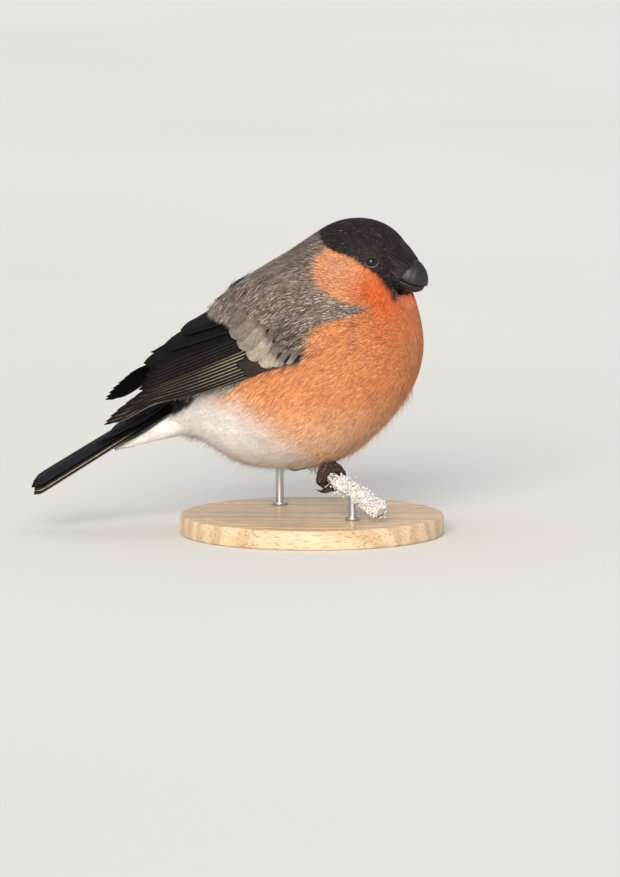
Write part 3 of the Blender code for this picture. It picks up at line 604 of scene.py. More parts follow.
def turn_outwards(obj):
    bpy.ops.object.select_all(action="DESELECT")
    obj.select_set(True)
    bpy.context.view_layer.objects.active = obj
    bpy.ops.object.mode_set(mode="EDIT")
    bpy.ops.mesh.select_all(action="SELECT")
    bpy.ops.mesh.normals_make_consistent(inside=False)
    bpy.ops.object.mode_set(mode="OBJECT")
    return obj


def make_skin():
    bpy.ops.object.select_all(action="DESELECT")
    bpy.ops.mesh.primitive_uv_sphere_add(segments=SKIN_SEGMENTS, ring_count=SKIN_RINGS, radius=1.0)
    skin = bpy.context.object
    skin.name = "skin"
    ball = mesh_points(skin.data)
    share = np.arccos(np.clip(-ball[:, 2], -1, 1)) / math.pi
    angle = np.arctan2(ball[:, 1], ball[:, 0])
    end = np.minimum(share, 1 - share)
    closing = np.sqrt(np.clip(end / 0.02, 0.0, 1.0))
    along = np.clip((share - 0.02) / 0.96, 0.0, 1.0)
    rise = read_rise(ARM_RISE, along, angle)
    places = body_point(along, angle, rise - coat_depth(along))
    middles = (body_point(along, np.zeros_like(along), -2.0) + body_point(along, np.full_like(along, np.pi), -2.0)) / 2
    places = middles + (places - middles) * closing[:, None]
    move_points(skin.data, places * MM)
    straight, _ = straight_point(along, angle)
    colours, _ = plumage(straight, np.zeros(len(straight)))
    paint(skin.data, colours)
    turn_outwards(skin)
    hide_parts("torso", "neck", "head")
    return dress(skin, PLUMAGE[ROSE])


skin = make_skin()
print("skin:", len(skin.data.polygons), "faces")

# %% [markdown]
# The coat is solid mesh, because particle hair is lost on export. Each tuft is a thin closed blade of
# six triangles: a pointed root, a three-sided middle and a pointed tip. It starts in the skin, follows
# the slices towards the tail, and ends a little above where the solids' surface is. Tufts lean together
# in small locks, as the barbs of one feather do. A tuft's patch in the UV map OFBake sits at its root's
# place on the skin's own unwrap, which is share and angle.

# %% Tufts
TUFT_FACES = np.array([(0, 1, 2), (0, 2, 3), (0, 3, 1), (1, 4, 2), (2, 4, 3), (3, 4, 1)])
TUFT_UNDERSIDES = [0, 3]
TUFT_ROUND = 0.35
TUFT_PATCH = np.array([(0, 0), (-12, 13), (12, 13), (0, 16), (0, 30)]) * 0.0001
MOST_TUFTS = 32000


def mesh_object(name, points, faces):
    """A mesh object from arrays of points in millimetres and triangles."""
    mesh = bpy.data.meshes.new(name)
    mesh.vertices.add(len(points))
    mesh.vertices.foreach_set("co", (np.asarray(points, float) * MM).ravel())
    mesh.loops.add(len(faces) * 3)
    mesh.loops.foreach_set("vertex_index", np.asarray(faces, np.int32).ravel())
    mesh.polygons.add(len(faces))
    mesh.polygons.foreach_set("loop_start", np.arange(len(faces), dtype=np.int32) * 3)
    mesh.update()
    mesh.validate()
    obj = bpy.data.objects.new(name, mesh)
    bpy.context.scene.collection.objects.link(obj)
    return obj


def add_uv(obj, name, places):
    """A UV map from one place for each vertex."""
    layer = obj.data.uv_layers.new(name=name)
    corners = np.empty(len(obj.data.loops), np.int32)
    obj.data.loops.foreach_get("vertex_index", corners)
    layer.data.foreach_set("uv", np.asarray(places, float)[corners].ravel())


def soften(obj, outwards, across):
    """Normals that follow the body more than the blades, so that the coat is lit as one soft surface."""
    above = np.stack([outwards, outwards - TUFT_ROUND * across, outwards + TUFT_ROUND * across, outwards, outwards], 1)
    corners = unit(above)[:, TUFT_FACES]
    corners[:, TUFT_UNDERSIDES] = -outwards[:, None, None]
    obj.data.shade_smooth()
    obj.data.normals_split_custom_set(corners.reshape(-1, 3).astype(np.float32))


def tufts(name, roots, middles, tips, width, outwards, shades, patches):
    """One mesh of tufts. shades holds the colours of root, middle and tip."""
    along = unit(tips - roots)
    across = unit(np.cross(along, outwards))
    up = unit(np.cross(across, along))
    half, ridge = across * width[:, None] / 2, up * width[:, None] * 0.16
    points = np.stack([roots, middles - half, middles + half, middles + ridge, tips], 1)
    count = len(roots)
    faces = TUFT_FACES[None] + 5 * np.arange(count)[:, None, None]
    obj = mesh_object(name, points.reshape(-1, 3), faces.reshape(-1, 3))
    root_shade, middle_shade, tip_shade = shades
    colours = np.stack([root_shade] + [middle_shade] * 3 + [tip_shade], 1)
    paint(obj.data, colours.reshape(-1, 3))
    add_uv(obj, "OFBake", (patches[:, None, :] + TUFT_PATCH[None]).reshape(-1, 2))
    soften(obj, outwards, across)
    return obj


# %% [markdown]
# The tufts of the body are spread by chance, as many as each square millimetre needs. Their length,
# width and fluff come from tables that follow the bird: finest on the face, short on the crown, long and
# loose on the belly and vent, where they make the wispy edge. They keep clear of the eyes, and of the
# body that the folded wings hide.

# %% Coat of the body
EYE_AT = (22.2, 83.9)
EYE_SIDE = 9.15
EYE_RADIUS = 2.7
EYE_CLEAR, EYE_CLEAR_HEIGHT = 2.15, 1.6
TUFT_LENGTHS = [(0.0, 6.4), (0.3, 5.2), (0.45, 4.2), (0.55, 3.2), (0.65, 2.5), (0.8, 1.9), (0.92, 1.5), (1.0, 1.1)]
TUFT_WIDTHS = [(0.0, 0.27), (0.35, 0.22), (0.5, 0.2), (0.65, 0.18), (0.85, 0.16), (1.0, 0.15)]
COVER = 7.0
WISPS = 2600
# How much lighter or darker single tufts are, by field: black, grey, rose, white.
STREAKS = (1.00, 0.66, 0.30, 0.06)
# How much painted light from below makes the plumage paler where it faces down.
PAINTED_LIGHT_FROM_BELOW = 0.27
# How far the tufts on the sides lean towards the belly, or towards the back on the neck and cheeks.
LEANS = [
    (0.0, 0.35), (0.18, 0.5), (0.3, 0.55), (0.34, 0.3), (0.38, 0.05), (0.42, -0.08), (0.47, -0.4), (0.52, -0.8),
    (0.6, -0.85), (0.68, -0.35), (0.8, -0.25), (1.0, 0.0),
]
LOCK_SPACING = [(0.0, 2.6), (0.45, 2.0), (0.7, 1.0), (1.0, 0.8)]
# The last u that the grey coverts reach on the wing at each v, before the pale wing bar and the tertials.
COVERT_ENDS = [
    (-4.0, 12.5), (-0.6, 14.4), (1.4, 17.4), (4.2, 19.0), (7.6, 19.4), (10.2, 20.2), (13.9, 24.2), (15.7, 26.5),
    (18.0, 28.0), (20.5, 29.0), (23.0, 30.0),
]
# How far from the middle the folded wings begin to hide the back.
WING_INNER = 12.5
# The wing's lower edge: v at each u.
WING_LOW = [(-4.0, 1.9), (4.0, -0.9), (14.0, -3.2), (20.0, -3.2), (29.0, -2.4), (52.0, -0.8), (62.0, 0.8)]


def eye_centre(side):
    return turned(np.array([EYE_AT[0], side * EYE_SIDE, EYE_AT[1]]))


def eye_direction(side):
    ahead = turned(np.array([NECK_X + 0.42, side * 1.0, 0.0]))
    return unit(np.array([ahead[0] - NECK_X, ahead[1], 0.12]))


def from_eye(points):
    """How far points lie from the nearer eye's axis, where up and down count for more, as in the lids."""
    nearest = np.full(len(points), 99.0)
    for side in (RIGHT, LEFT):
        away, out = points - eye_centre(side), eye_direction(side)
        up = unit(np.array([0.0, 0.0, 1.0]) - out * out[2])
        depth = away @ out
        beside = np.hypot(away @ np.cross(up, out), (away @ up) * EYE_CLEAR / EYE_CLEAR_HEIGHT)
        nearest = np.where(depth > -3.5, np.minimum(nearest, beside), nearest)
    return nearest


def under_wing(points):
    """Which places on the body are hidden by the folded wings' own feathers."""
    u, v = on_wing(points)
    at, lift, narrow = zip(*FAR_WING_FOLD)
    folded = (v + 1.0 - np.interp(u, at, lift)) / np.interp(u, at, narrow) - 1.0
    v = np.where(points[:, 1] > 0, folded, v)
    ends_v, ends_u = zip(*COVERT_ENDS)
    low = np.interp(u, *zip(*WING_LOW))
    high = np.interp(u, (20, 30, 46, 62), (22.5, 22.0, 18.5, 9.0))
    beside = np.abs(points[:, 1]) > WING_INNER
    return (u > np.interp(v, ends_v, ends_u)) & (v > low) & (v < high) & beside


def spread_roots(count, seed):
    """Places on the body, denser where the coat's tufts are smaller."""
    draw = np.random.default_rng(seed)
    share, angle = draw.uniform(0, 1, count * 6), draw.uniform(0, 2 * np.pi, count * 6)
    step = 0.004
    along = body_point(share + step, angle) - body_point(share - step, angle)
    round_it = body_point(share, angle + step) - body_point(share, angle - step)
    area = np.linalg.norm(np.cross(along, round_it), axis=1) / (2 * step) ** 2
    size = np.interp(share, *zip(*TUFT_LENGTHS)) * np.interp(share, *zip(*TUFT_WIDTHS)) / 2
    wanted = area / size
    keep = draw.uniform(0, wanted.max(), len(share)) < wanted
    total = float(wanted.mean()) * 2 * np.pi * COVER
    share, angle = share[keep], angle[keep]
    return share[: int(total)], angle[: int(total)], draw


def pull_to_locks(roots, tips, middles, spacing, draw, pull):
    """Leans tips towards the tip of the nearest lock. It also gives each tuft its lock's number."""
    order = draw.permutation(len(roots))[: int(len(roots) / 40)]
    tree = kdtree.KDTree(len(order))
    for number, i in enumerate(order):
        tree.insert(roots[i], number)
    tree.balance()
    lock = np.array([tree.find(root)[1] for root in roots])
    aim = tips[order][lock] - tips
    far = np.linalg.norm(aim, axis=1, keepdims=True)
    aim *= np.minimum(1.0, spacing[:, None] / np.maximum(far, 1e-6))
    return tips + aim * pull[:, None], middles + aim * pull[:, None] * 0.35, lock


def laid(share, angle, length, stray, lift):
    """Roots, middles and tips of tufts that follow the body, and two places of each on the straight bird."""
    _, _, per_share = body_directions(share, angle)
    girth = np.linalg.norm(body_point(share, angle + 0.01) - body_point(share, angle), axis=1) / 0.01
    back = length * np.cos(stray) / per_share
    aside = length * np.sin(stray) / girth
    depth = coat_depth(share)
    ends = []
    for part, height in ((0.0, -depth * 1.15), (0.5, -depth * 0.5 + lift * 0.4), (1.0, lift)):
        s, a = share - back * part, angle + aside * part
        ends.append(body_point(s, a, read_rise(COAT_RISE, s, a) + height))
    low, _ = straight_point(share - back * 0.15, angle + aside * 0.15)
    high, _ = straight_point(share - back * 0.8, angle + aside * 0.8)
    return *ends, (low, high)


def body_coat(count):
    share, angle, draw = spread_roots(count, 21)
    surface = body_point(share, angle)
    clear = (from_eye(surface) > EYE_CLEAR) & ~under_wing(surface)
    share, angle, surface = share[clear], angle[clear], surface[clear]
    outwards, _, _ = body_directions(np.maximum(share, 0.12), angle)
    length = np.interp(share, *zip(*TUFT_LENGTHS)) * draw.uniform(0.7, 1.15, len(share))
    u, v = on_wing(surface)
    on_arm = smooth_step(u, -2.0, 8.0) * smooth_step(v, -5.0, -2.0) * smooth_step(-v, -20.0, -13.0)
    rump = smooth_step(-share, -0.3, -0.16) * smooth_step(np.cos(angle), -0.3, 0.3)
    length *= 1 - np.maximum(0.42 * on_arm, 0.55 * rump)
    length = np.minimum(length, np.maximum(from_eye(surface) - EYE_CLEAR + 0.35, 0.5))
    width = np.interp(share, *zip(*TUFT_WIDTHS)) * draw.uniform(0.7, 1.2, len(share))
    belly = smooth_step(-np.cos(angle), 0.6, 1.0) * smooth_step(-share, -0.5, -0.42)
    vent = smooth_step(-share, -0.2, -0.08) * smooth_step(-np.cos(angle), 0.4, 0.9)
    fluff = np.maximum(belly, vent)
    stray = 0.13 * waves(surface, 7.0, 31) + draw.normal(0, 0.10 + 0.08 * fluff, len(share))
    stray += np.interp(share, *zip(*LEANS)) * np.clip(1.6 * np.sin(angle), -1.0, 1.0)
    lift = draw.uniform(-0.25, 0.1, len(share)) * np.clip(length / 4.0, 0.3, 1.0)
    lift += fluff * draw.gamma(1.6, 0.28, len(share))
    roots, middles, tips, places = laid(share, angle, length, stray, lift)
    spacing = np.interp(share, *zip(*LOCK_SPACING))
    tips, middles, lock = pull_to_locks(roots, tips, middles, spacing, draw, 0.10 + 0.35 * fluff)
    waver = draw.normal(0, 1.0, len(share))
    low, _ = plumage(places[0], waver)
    high, field = plumage(places[1], waver)
    tone = draw.normal(0, 1.0, len(share)) * np.array(STREAKS)[field] + draw.normal(0, 0.03, int(lock.max()) + 1)[lock]
    tone = np.exp(tone - tone.var() / 2)[:, None]
    # Painted light from below: tufts that face down are made paler.
    tone *= 1 + PAINTED_LIGHT_FROM_BELOW * smooth_step(-outwards[:, 2:], -0.1, 0.6)
    patches = np.stack([0.01 + 0.97 * share, 0.01 + 0.97 * angle / (2 * np.pi)], 1)
    return roots, middles, tips, width, outwards, tuft_shades(low * tone, high * tone, field), field, patches, angle


def tuft_shades(low, high, field):
    """Root, middle and tip colours, with painted shade at the root and painted light on coloured tips."""
    # Painted light: the tips of grey, rose and white tufts are made paler.
    pale = np.where(field == BLACK, 0.0, np.where(field == GREY, 0.10, 0.05))[:, None]
    # Painted shade: roots are made darker, less so on white tufts.
    shade = np.where(field == WHITE, 0.97, 0.88)[:, None]
    return low * shade, (low + high) / 2, high * (1 + pale)


def add_wisps():
    """Fine loose barbs that soften the lower edge of the belly and the vent."""
    draw = np.random.default_rng(51)
    share, angle = draw.uniform(0.02, 0.52, WISPS), np.pi + draw.normal(0, 0.28, WISPS)
    length = draw.uniform(5.0, 9.0, WISPS) * (1 - 0.5 * smooth_step(share, 0.35, 0.5))
    lift = 0.7 + draw.gamma(1.5, 0.6, WISPS)
    roots, middles, tips, places = laid(share, angle, length, draw.normal(0, 0.3, WISPS), lift)
    shade, _ = plumage(places[1], draw.normal(0, 1.5, WISPS))
    shade = blend(shade, INKS["belly"], np.full(WISPS, 0.3))
    patches = np.stack([0.01 + 0.97 * share, 0.01 + 0.97 * angle / (2 * np.pi)], 1)
    outwards, _, _ = body_directions(share, angle)
    wisps = tufts("coat_wisps", roots, middles, tips, draw.uniform(0.14, 0.22, WISPS), outwards,
                  (shade, shade, shade), patches)
    return dress(wisps, PLUMAGE[WHITE])


def add_coat(count):
    roots, middles, tips, width, outwards, shades, field, patches, angle = body_coat(count)
    side = np.where(np.sin(angle) < 0, RIGHT, LEFT)
    made = []
    for kind, label in FIELD_NAMES.items():
        for half, half_name in ((RIGHT, "right"), (LEFT, "left")):
            chosen = np.flatnonzero((field == kind) & (side == half))
            pieces = max(1, math.ceil(len(chosen) / MOST_TUFTS))
            for number, part in enumerate(np.array_split(chosen, pieces)):
                name = f"coat_{label}_{half_name}_{number + 1}"
                piece = tufts(
                    name, roots[part], middles[part], tips[part], width[part], outwards[part],
                    [shade[part] for shade in shades], patches[part],
                )
                made.append(dress(piece, PLUMAGE[kind]))
                print(name, len(part), "tufts")
    return made


coat = add_coat(240000)
wisps = add_wisps()

# %% [markdown]
# A flight feather is a thin vane with a raised shaft, paler along its leading edge. The folded wing
# shows mostly those edges, stacked like shingles: each feather's lower edge lies over the upper part of
# the one below. One function makes any vane from its stations, with more columns near the edges, where
# the colour changes. Its own UV map, in centimetres along and across, carries the fine barbs.

# %% Vanes
VANE_COLUMNS = np.array([0.0, 0.05, 0.11, 0.2, 0.34, 0.5, 0.66, 0.82, 0.93, 1.0])
VANE_STATIONS = 26
VANE_THICK = 0.2
SHINGLE_SLOPE = 0.27
SHAFT_PLACE = 0.34
UNDERSIDE_SHADE = 0.3


def vane_outline(share, taper):
    """A vane's width at shares of its length. It grows at the root and is rounded past the taper."""
    grow = 0.72 + 0.28 * smooth_step(share, 0.0, 0.2)
    slim = 1.0 - 0.3 * smooth_step(share, 0.45, 1.0)
    end = np.clip((share - taper) / (1 - taper), 0.0, 1.0)
    return grow * slim * np.sqrt(np.maximum(1 - end**2.2, 0.004))


def vane_places(place, along, low, high, out_low, out_high):
    """Points of one vane's two faces, and its UVs."""
    columns = VANE_COLUMNS[None, :]
    across = low[:, None] + (high - low)[:, None] * columns
    out = out_low[:, None] + (out_high - out_low)[:, None] * columns
    u = np.broadcast_to(along[:, None], across.shape)
    half = VANE_THICK * (0.3 + 0.7 * np.sin(np.pi * columns) ** 0.5) / 2
    shaft = 0.16 * np.exp(-(((columns - SHAFT_PLACE) * (high - low)[:, None]) / 0.22) ** 2)
    top = place(u, across, out + half + shaft)
    under = place(u, across, out - half)
    uv = np.stack([u, across - across[:, 3:4]], -1) * 0.1
    return np.stack([top, under]), np.stack([uv, uv])


def vane_faces(stations, columns):
    """Triangles of a closed vane, whose top and underside are grids of as many points."""
    grid = np.arange(2 * stations * columns).reshape(2, stations, columns)
    quads = []
    for face, turn in ((grid[0], 1), (grid[1], -1)):
        quads.append(np.stack([face[:-1, :-1], face[1:, :-1], face[1:, 1:], face[:-1, 1:]][::turn], -1).reshape(-1, 4))
    for edge, turn in ((grid[:, :, 0], -1), (grid[:, :, -1], 1), (grid[:, 0], 1), (grid[:, -1], -1)):
        quads.append(np.stack([edge[0, :-1], edge[0, 1:], edge[1, 1:], edge[1, :-1]][::turn], -1))
    quads = np.concatenate(quads)
    return np.concatenate([quads[:, [0, 1, 2]], quads[:, [0, 2, 3]]])


def join_vanes(name, made, material):
    """One piece from many vanes. Each is its points, its UVs and its colours."""
    stations, columns = made[0][0].shape[1:3]
    faces = vane_faces(stations, columns)
    count = 2 * stations * columns
    points = np.concatenate([m[0].reshape(-1, 3) for m in made])
    every = np.concatenate([faces + i * count for i in range(len(made))])
    obj = mesh_object(name, points, every)
    add_uv(obj, "Feather", np.concatenate([m[1].reshape(-1, 2) for m in made]))
    paint(obj.data, np.concatenate([m[2].reshape(-1, 3) for m in made]))
    turn_outwards(obj)
    print(name, len(made), "vanes,", len(every), "triangles")
    return dress(obj, material)


def vane_colours(points, base, edge, edge_share, tone):
    """Colours of one vane: its base, and a paler leading edge whose strength changes along it."""
    columns = np.broadcast_to(VANE_COLUMNS, points.shape[:3])
    share = np.broadcast_to(np.linspace(0, 1, points.shape[1])[None, :, None], points.shape[:3])
    strength = (1 - smooth_step(columns, 0.03, 0.09)) * edge_share(share)
    made = base * (1 - 0.25 * smooth_step(columns, 0.35, 0.95))[..., None] * tone
    made = made * (1 - strength[..., None]) + edge * strength[..., None]
    made[1] *= UNDERSIDE_SHADE
    return made


def feather_material():
    made, nodes, links, shader = new_material("flight_feather", 0.55, Specular_IOR_Level=0.08)
    painted = nodes.new("ShaderNodeAttribute")
    painted.attribute_name = "Plumage"
    own = nodes.new("ShaderNodeUVMap")
    own.uv_map = "Feather"
    slant = nodes.new("ShaderNodeMapping")
    slant.inputs["Rotation"].default_value = (0.0, 0.0, math.radians(38.0))
    links.new(own.outputs["UV"], slant.inputs["Vector"])
    barbs = add_node(nodes, "ShaderNodeTexWave", Scale=14.0, Distortion=1.2, Detail=1.0, Detail_Scale=2.0)
    links.new(slant.outputs["Vector"], barbs.inputs["Vector"])
    shaded = patchy(nodes, links, painted.outputs["Color"], 700.0, 0.8, 1.25)
    links.new(shaded, shader.inputs["Base Color"])
    add_bump(nodes, links, barbs.outputs["Fac"], shader, 0.35, 0.00012)
    return made


FEATHER = feather_material()

# %% [markdown]
# Each wing's feathers are listed by kind, with the root's u and v, the tip's u and v, and the width of
# the first and the last of the kind. The nine primaries end in steps, so their tips are a short curve of
# their own. The wing bar is the pale tips of the great coverts, over the black of their bases.

# %% Wing feathers
PRIMARY_TIPS = [
    (77.0, -0.7), (79.5, -0.3), (78.6, 0.4), (76.6, 1.3), (74.0, 2.2), (70.5, 3.2), (67.0, 4.1), (64.0, 4.9), (61.0, 5.5),
]
PRIMARY_ARCH = 1.4
PRIMARY_ROOTS = (-2.4, 5.2)
PRIMARY_WIDTHS = (2.2, 3.4)
SECONDARIES = (6, (24.5, 5.4, 65.0, 5.6, 3.6), (24.5, 9.6, 58.5, 10.6, 4.4))
TERTIALS = (3, (23.5, 8.6, 60.3, 11.9, 6.4), (23.5, 13.4, 46.5, 16.6, 5.6))
PRIMARY_EDGES = (0.5, 0.45, 0.6, 0.9, 1.0, 0.95, 1.0, 0.9, 0.6)
PRIMARY_COVERTS = (6, (12.0, -3.0, 33.0, -1.8, 2.5), (13.0, 1.4, 34.2, 2.4, 2.9))
BAR_TUFTS = 420
LOBE_TOP, LOBE_DROP, LOBE_DIP = 1.75, 0.25, 1.1
# The wing bar's lobes from the back to the front: u and v of root and tip, width, the share of the length
# at which the pale tip starts, and how pale it is.
BAR_LOBES = [
    (23.5, 16.6, 31.4, 13.6, 4.6, 0.0, -0.25), (23.0, 13.2, 32.4, 9.8, 5.2, 0.0, 0.0),
    (22.0, 9.9, 31.4, 6.2, 5.4, 0.04, 0.35), (21.2, 6.6, 30.0, 2.3, 5.2, 0.2, 0.8),
    (19.6, 3.6, 27.6, -0.8, 4.6, 0.4, 1.0), (17.0, 1.6, 24.4, -2.0, 3.4, 0.58, 0.95),
    (14.0, 0.2, 20.8, -2.6, 2.7, 0.62, 0.8),
]
SCAPULARS = 1500
SCAPULAR_ENDS = [(14.0, 31.0), (16.0, 34.0), (19.0, 37.0), (20.0, 37.0), (21.0, 33.5), (22.5, 30.5)]
FEATHER_INKS = {
    "bar_low": colour(114, 104, 95),
    "primary": colour(24, 20, 18),
    "primary_edge": colour(176, 158, 134),
    "secondary": colour(17, 14, 15),
    "secondary_edge": colour(58, 50, 46),
    "tertial": colour(14, 11, 13),
    "tertial_edge": colour(32, 27, 27),
    "covert_base": colour(26, 22, 22),
    "covert_middle": colour(100, 90, 83),
    "covert_tip": colour(156, 146, 131),
    "primary_covert": colour(44, 37, 33),
    "primary_covert_edge": colour(78, 67, 58),
}


def wing_vane(side, root, tip, width, layer, dip, taper, arch=0.0):
    """One feather of a folded wing, whose lower edge runs from its root to its tip, arched near the tip."""
    share = np.linspace(0, 1, VANE_STATIONS) ** 0.85
    span = width * vane_outline(share, taper)
    low = root[1] + (tip[1] - width * 0.3 - root[1]) * share + arch * np.exp(-(((share - 0.72) / 0.16) ** 2))
    low = low + (tip[1] - span / 2 - low) * np.clip((share - 0.8) * 5, 0, 1) ** 1.5
    top = layer - dip * np.clip(1 - share / 0.4, 0, 1)
    along = root[0] + (tip[0] - root[0]) * share
    return vane_places(lambda u, v, out: wing_point(u, v, out, side), along, low, low + span, top,
                       top - SHINGLE_SLOPE * span)


def wing_kind(kind, side, layer, dip, taper, draw):
    """The feathers of one kind, evenly spread from the first to the last."""
    count, *rows = kind
    made = []
    for share in np.linspace(0, 1, count):
        u0, v0, u1, v1, width = (np.interp(share, np.linspace(0, 1, len(rows)), column) for column in zip(*rows))
        u1 += draw.uniform(-0.4, 0.4)
        made.append(wing_vane(side, (u0, v0), (u1, v1), width * draw.uniform(0.95, 1.06), layer, dip, taper))
    return made


def coloured(vanes, draw, base, edge, edge_share):
    """Each vane with its UVs and colours, a little lighter or darker than the next."""
    return [
        (points, uv, vane_colours(points, base, edge, edge_share, draw.uniform(0.88, 1.1))) for points, uv in vanes
    ]


def primaries(side, draw):
    made = []
    for i, tip in enumerate(PRIMARY_TIPS):
        share = i / (len(PRIMARY_TIPS) - 1)
        root = PRIMARY_ROOTS[0] + (PRIMARY_ROOTS[1] - PRIMARY_ROOTS[0]) * share
        width = PRIMARY_WIDTHS[0] + (PRIMARY_WIDTHS[1] - PRIMARY_WIDTHS[0]) * share
        arch = PRIMARY_ARCH * max(0.0, 1 - i / 6)
        if side == LEFT:
            width *= 1.45
            tip = (tip[0] + 0.35 * (79.5 - tip[0]) * (i > 1), tip[1])
        points, uv = wing_vane(side, (24.5, root), tip, width, 0.3, 0.2, 0.84, arch)
        shades = vane_colours(
            points, FEATHER_INKS["primary"], FEATHER_INKS["primary_edge"],
            lambda s, k=PRIMARY_EDGES[i]: k * (0.2 + 0.8 * np.exp(-((s - 0.17) / 0.2) ** 2))
            + (0.5 if i < 4 else 0.0) * smooth_step(s, 0.58, 0.68), draw.uniform(0.92, 1.08),
        )
        made.append((points, uv, shades))
    return made


def lobe_colours(share, across, start, tone):
    """A great covert's colours: dark, with a black lower edge, up to the pale tip that makes the wing bar."""
    inks = FEATHER_INKS
    pale, edge = smooth_step(share, start, start + 0.22)[..., None], smooth_step(-across, 0.3, 0.4)[..., None]
    dark = inks["covert_middle"] * (1 - edge) + inks["covert_base"] * edge
    light = inks["bar_low"] + (inks["covert_tip"] - inks["bar_low"]) * np.asarray(tone)[..., None]
    # Painted shade on the pale tip's upper half, where the lobe above lies over it; the shaft is a lighter line.
    light = light * (1 - 0.12 * smooth_step(across, 0.0, 0.5) + 0.1 * (np.abs(across) < 0.05))[..., None]
    return dark * (1 - pale) + light * pale


def lobe_point(lobe, along, across, out, side):
    """Places beside the middle line of one or many great coverts."""
    u0, v0, u1, v1 = lobe[:4]
    lean = np.arctan2(v0 - v1, u1 - u0)
    u = u0 + along * np.cos(lean) + across * np.sin(lean)
    return wing_point(u, v0 - along * np.sin(lean) + across * np.cos(lean), out, side)


def bar_vanes(side, draw):
    """The great coverts themselves, under the soft tufts of their tips."""
    made = []
    for number, lobe in enumerate(BAR_LOBES):
        share = np.linspace(0, 1, VANE_STATIONS) ** 0.85
        length = math.hypot(lobe[2] - lobe[0], lobe[3] - lobe[1])
        half = lobe[4] * vane_outline(share, 0.87) / 2
        top = LOBE_TOP - 0.07 * number - 0.12 - LOBE_DIP * (1 - smooth_step(share, 0.0, 0.35))
        place = lambda along, across, out: lobe_point(lobe, along, across, out, side)
        points, uv = vane_places(place, length * share, -half, half, top, top - LOBE_DROP)
        columns = np.broadcast_to(VANE_COLUMNS - 0.5, points.shape[:3])
        shares = np.broadcast_to(share[None, :, None], points.shape[:3])
        shades = lobe_colours(shares, columns, lobe[5], lobe[6]) * draw.uniform(0.94, 1.04)
        made.append((points, uv, shades))
    return made


def add_wing(side, label):
    draw = np.random.default_rng(11)
    inks = FEATHER_INKS
    faint = lambda s: 0.55 + 0.0 * s
    kinds = {
        "primaries": primaries(side, draw),
        "secondaries": coloured(
            wing_kind(SECONDARIES, side, 0.42, 0.3, 0.86, draw), draw, inks["secondary"], inks["secondary_edge"], faint),
        "tertials": coloured(
            wing_kind(TERTIALS, side, 0.62, 0.5, 0.84, draw), draw, inks["tertial"], inks["tertial_edge"], faint),
        "primary_coverts": coloured(
            wing_kind(PRIMARY_COVERTS, side, 0.8, 0.6, 0.8, draw), draw, inks["primary_covert"],
            inks["primary_covert_edge"], faint),
        "wing_bar": bar_vanes(side, draw),
    }
    for kind, made in kinds.items():
        piece = join_vanes(f"{kind}_{label}", made, FEATHER)
        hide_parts(f"wing_{label}")


def sheet_tufts(name, side, u, v, length, lean, heights, width, shades, field):
    """Tufts on one wing's sheet, at heights of root, middle and tip. They lean towards its lower edge."""
    ahead, down = length * np.cos(lean), length * np.sin(lean)
    roots = wing_point(u, v, heights[0], side)
    middles = wing_point(u + ahead / 2, v - down / 2, heights[1], side)
    tips = wing_point(u + ahead, v - down, heights[2], side)
    outwards = unit(wing_point(u, v, heights[0] + 1.0, side) - roots)
    patches = np.stack([0.01 + 0.25 * (u - 10) / 30, 0.01 + 0.97 * (v + 5) / 30], 1)
    piece = tufts(f"{name}_{'right' if side == RIGHT else 'left'}", roots, middles, tips, width, outwards, shades, patches)
    dress(piece, PLUMAGE[field])
    return piece


def add_bar_tufts(side):
    """The wing bar: a row of soft lobes, each the tip of one great covert, with dark gaps at the front."""
    draw = np.random.default_rng(15)
    number = np.repeat(np.arange(len(BAR_LOBES)), BAR_TUFTS)
    lobe = np.array(BAR_LOBES)[number].T
    span, lean = np.hypot(lobe[2] - lobe[0], lobe[3] - lobe[1]), np.arctan2(lobe[1] - lobe[3], lobe[2] - lobe[0])
    across, length = draw.uniform(-0.46, 0.46, len(number)), draw.uniform(2.6, 4.2, len(number))
    reach = span * (0.99 - 0.09 * (2 * across) ** 4) - draw.uniform(0.0, 0.4, len(number))
    along = (reach - length) * draw.uniform(0.1, 1, len(number)) ** 0.8
    u = lobe[0] + along * np.cos(lean) + across * lobe[4] * np.sin(lean)
    v = lobe[1] - along * np.sin(lean) + across * lobe[4] * np.cos(lean)
    spread = lean - 0.4 * across + draw.normal(0, 0.04, len(number))
    step = LOBE_TOP - 0.07 * number - LOBE_DROP * (across + 0.5)
    step -= LOBE_DIP * (1 - smooth_step((along + length * 0.5) / span, 0.0, 0.35))
    heights = (step - 0.4, step + draw.uniform(0.0, 0.06, len(number)), step + draw.uniform(0.0, 0.14, len(number)))
    shade = lobe_colours((along + length * 0.6) / span, across, lobe[5], lobe[6])
    shade = shade * (1 + draw.normal(0, 0.2, len(number)))[:, None]
    # Painted shade at the tufts' roots and painted light at their tips.
    sheet_tufts("wing_bar_tufts", side, u, v, length, spread, heights, draw.uniform(0.16, 0.26, len(number)),
                (shade * 0.92, shade, shade * 1.05), WHITE)


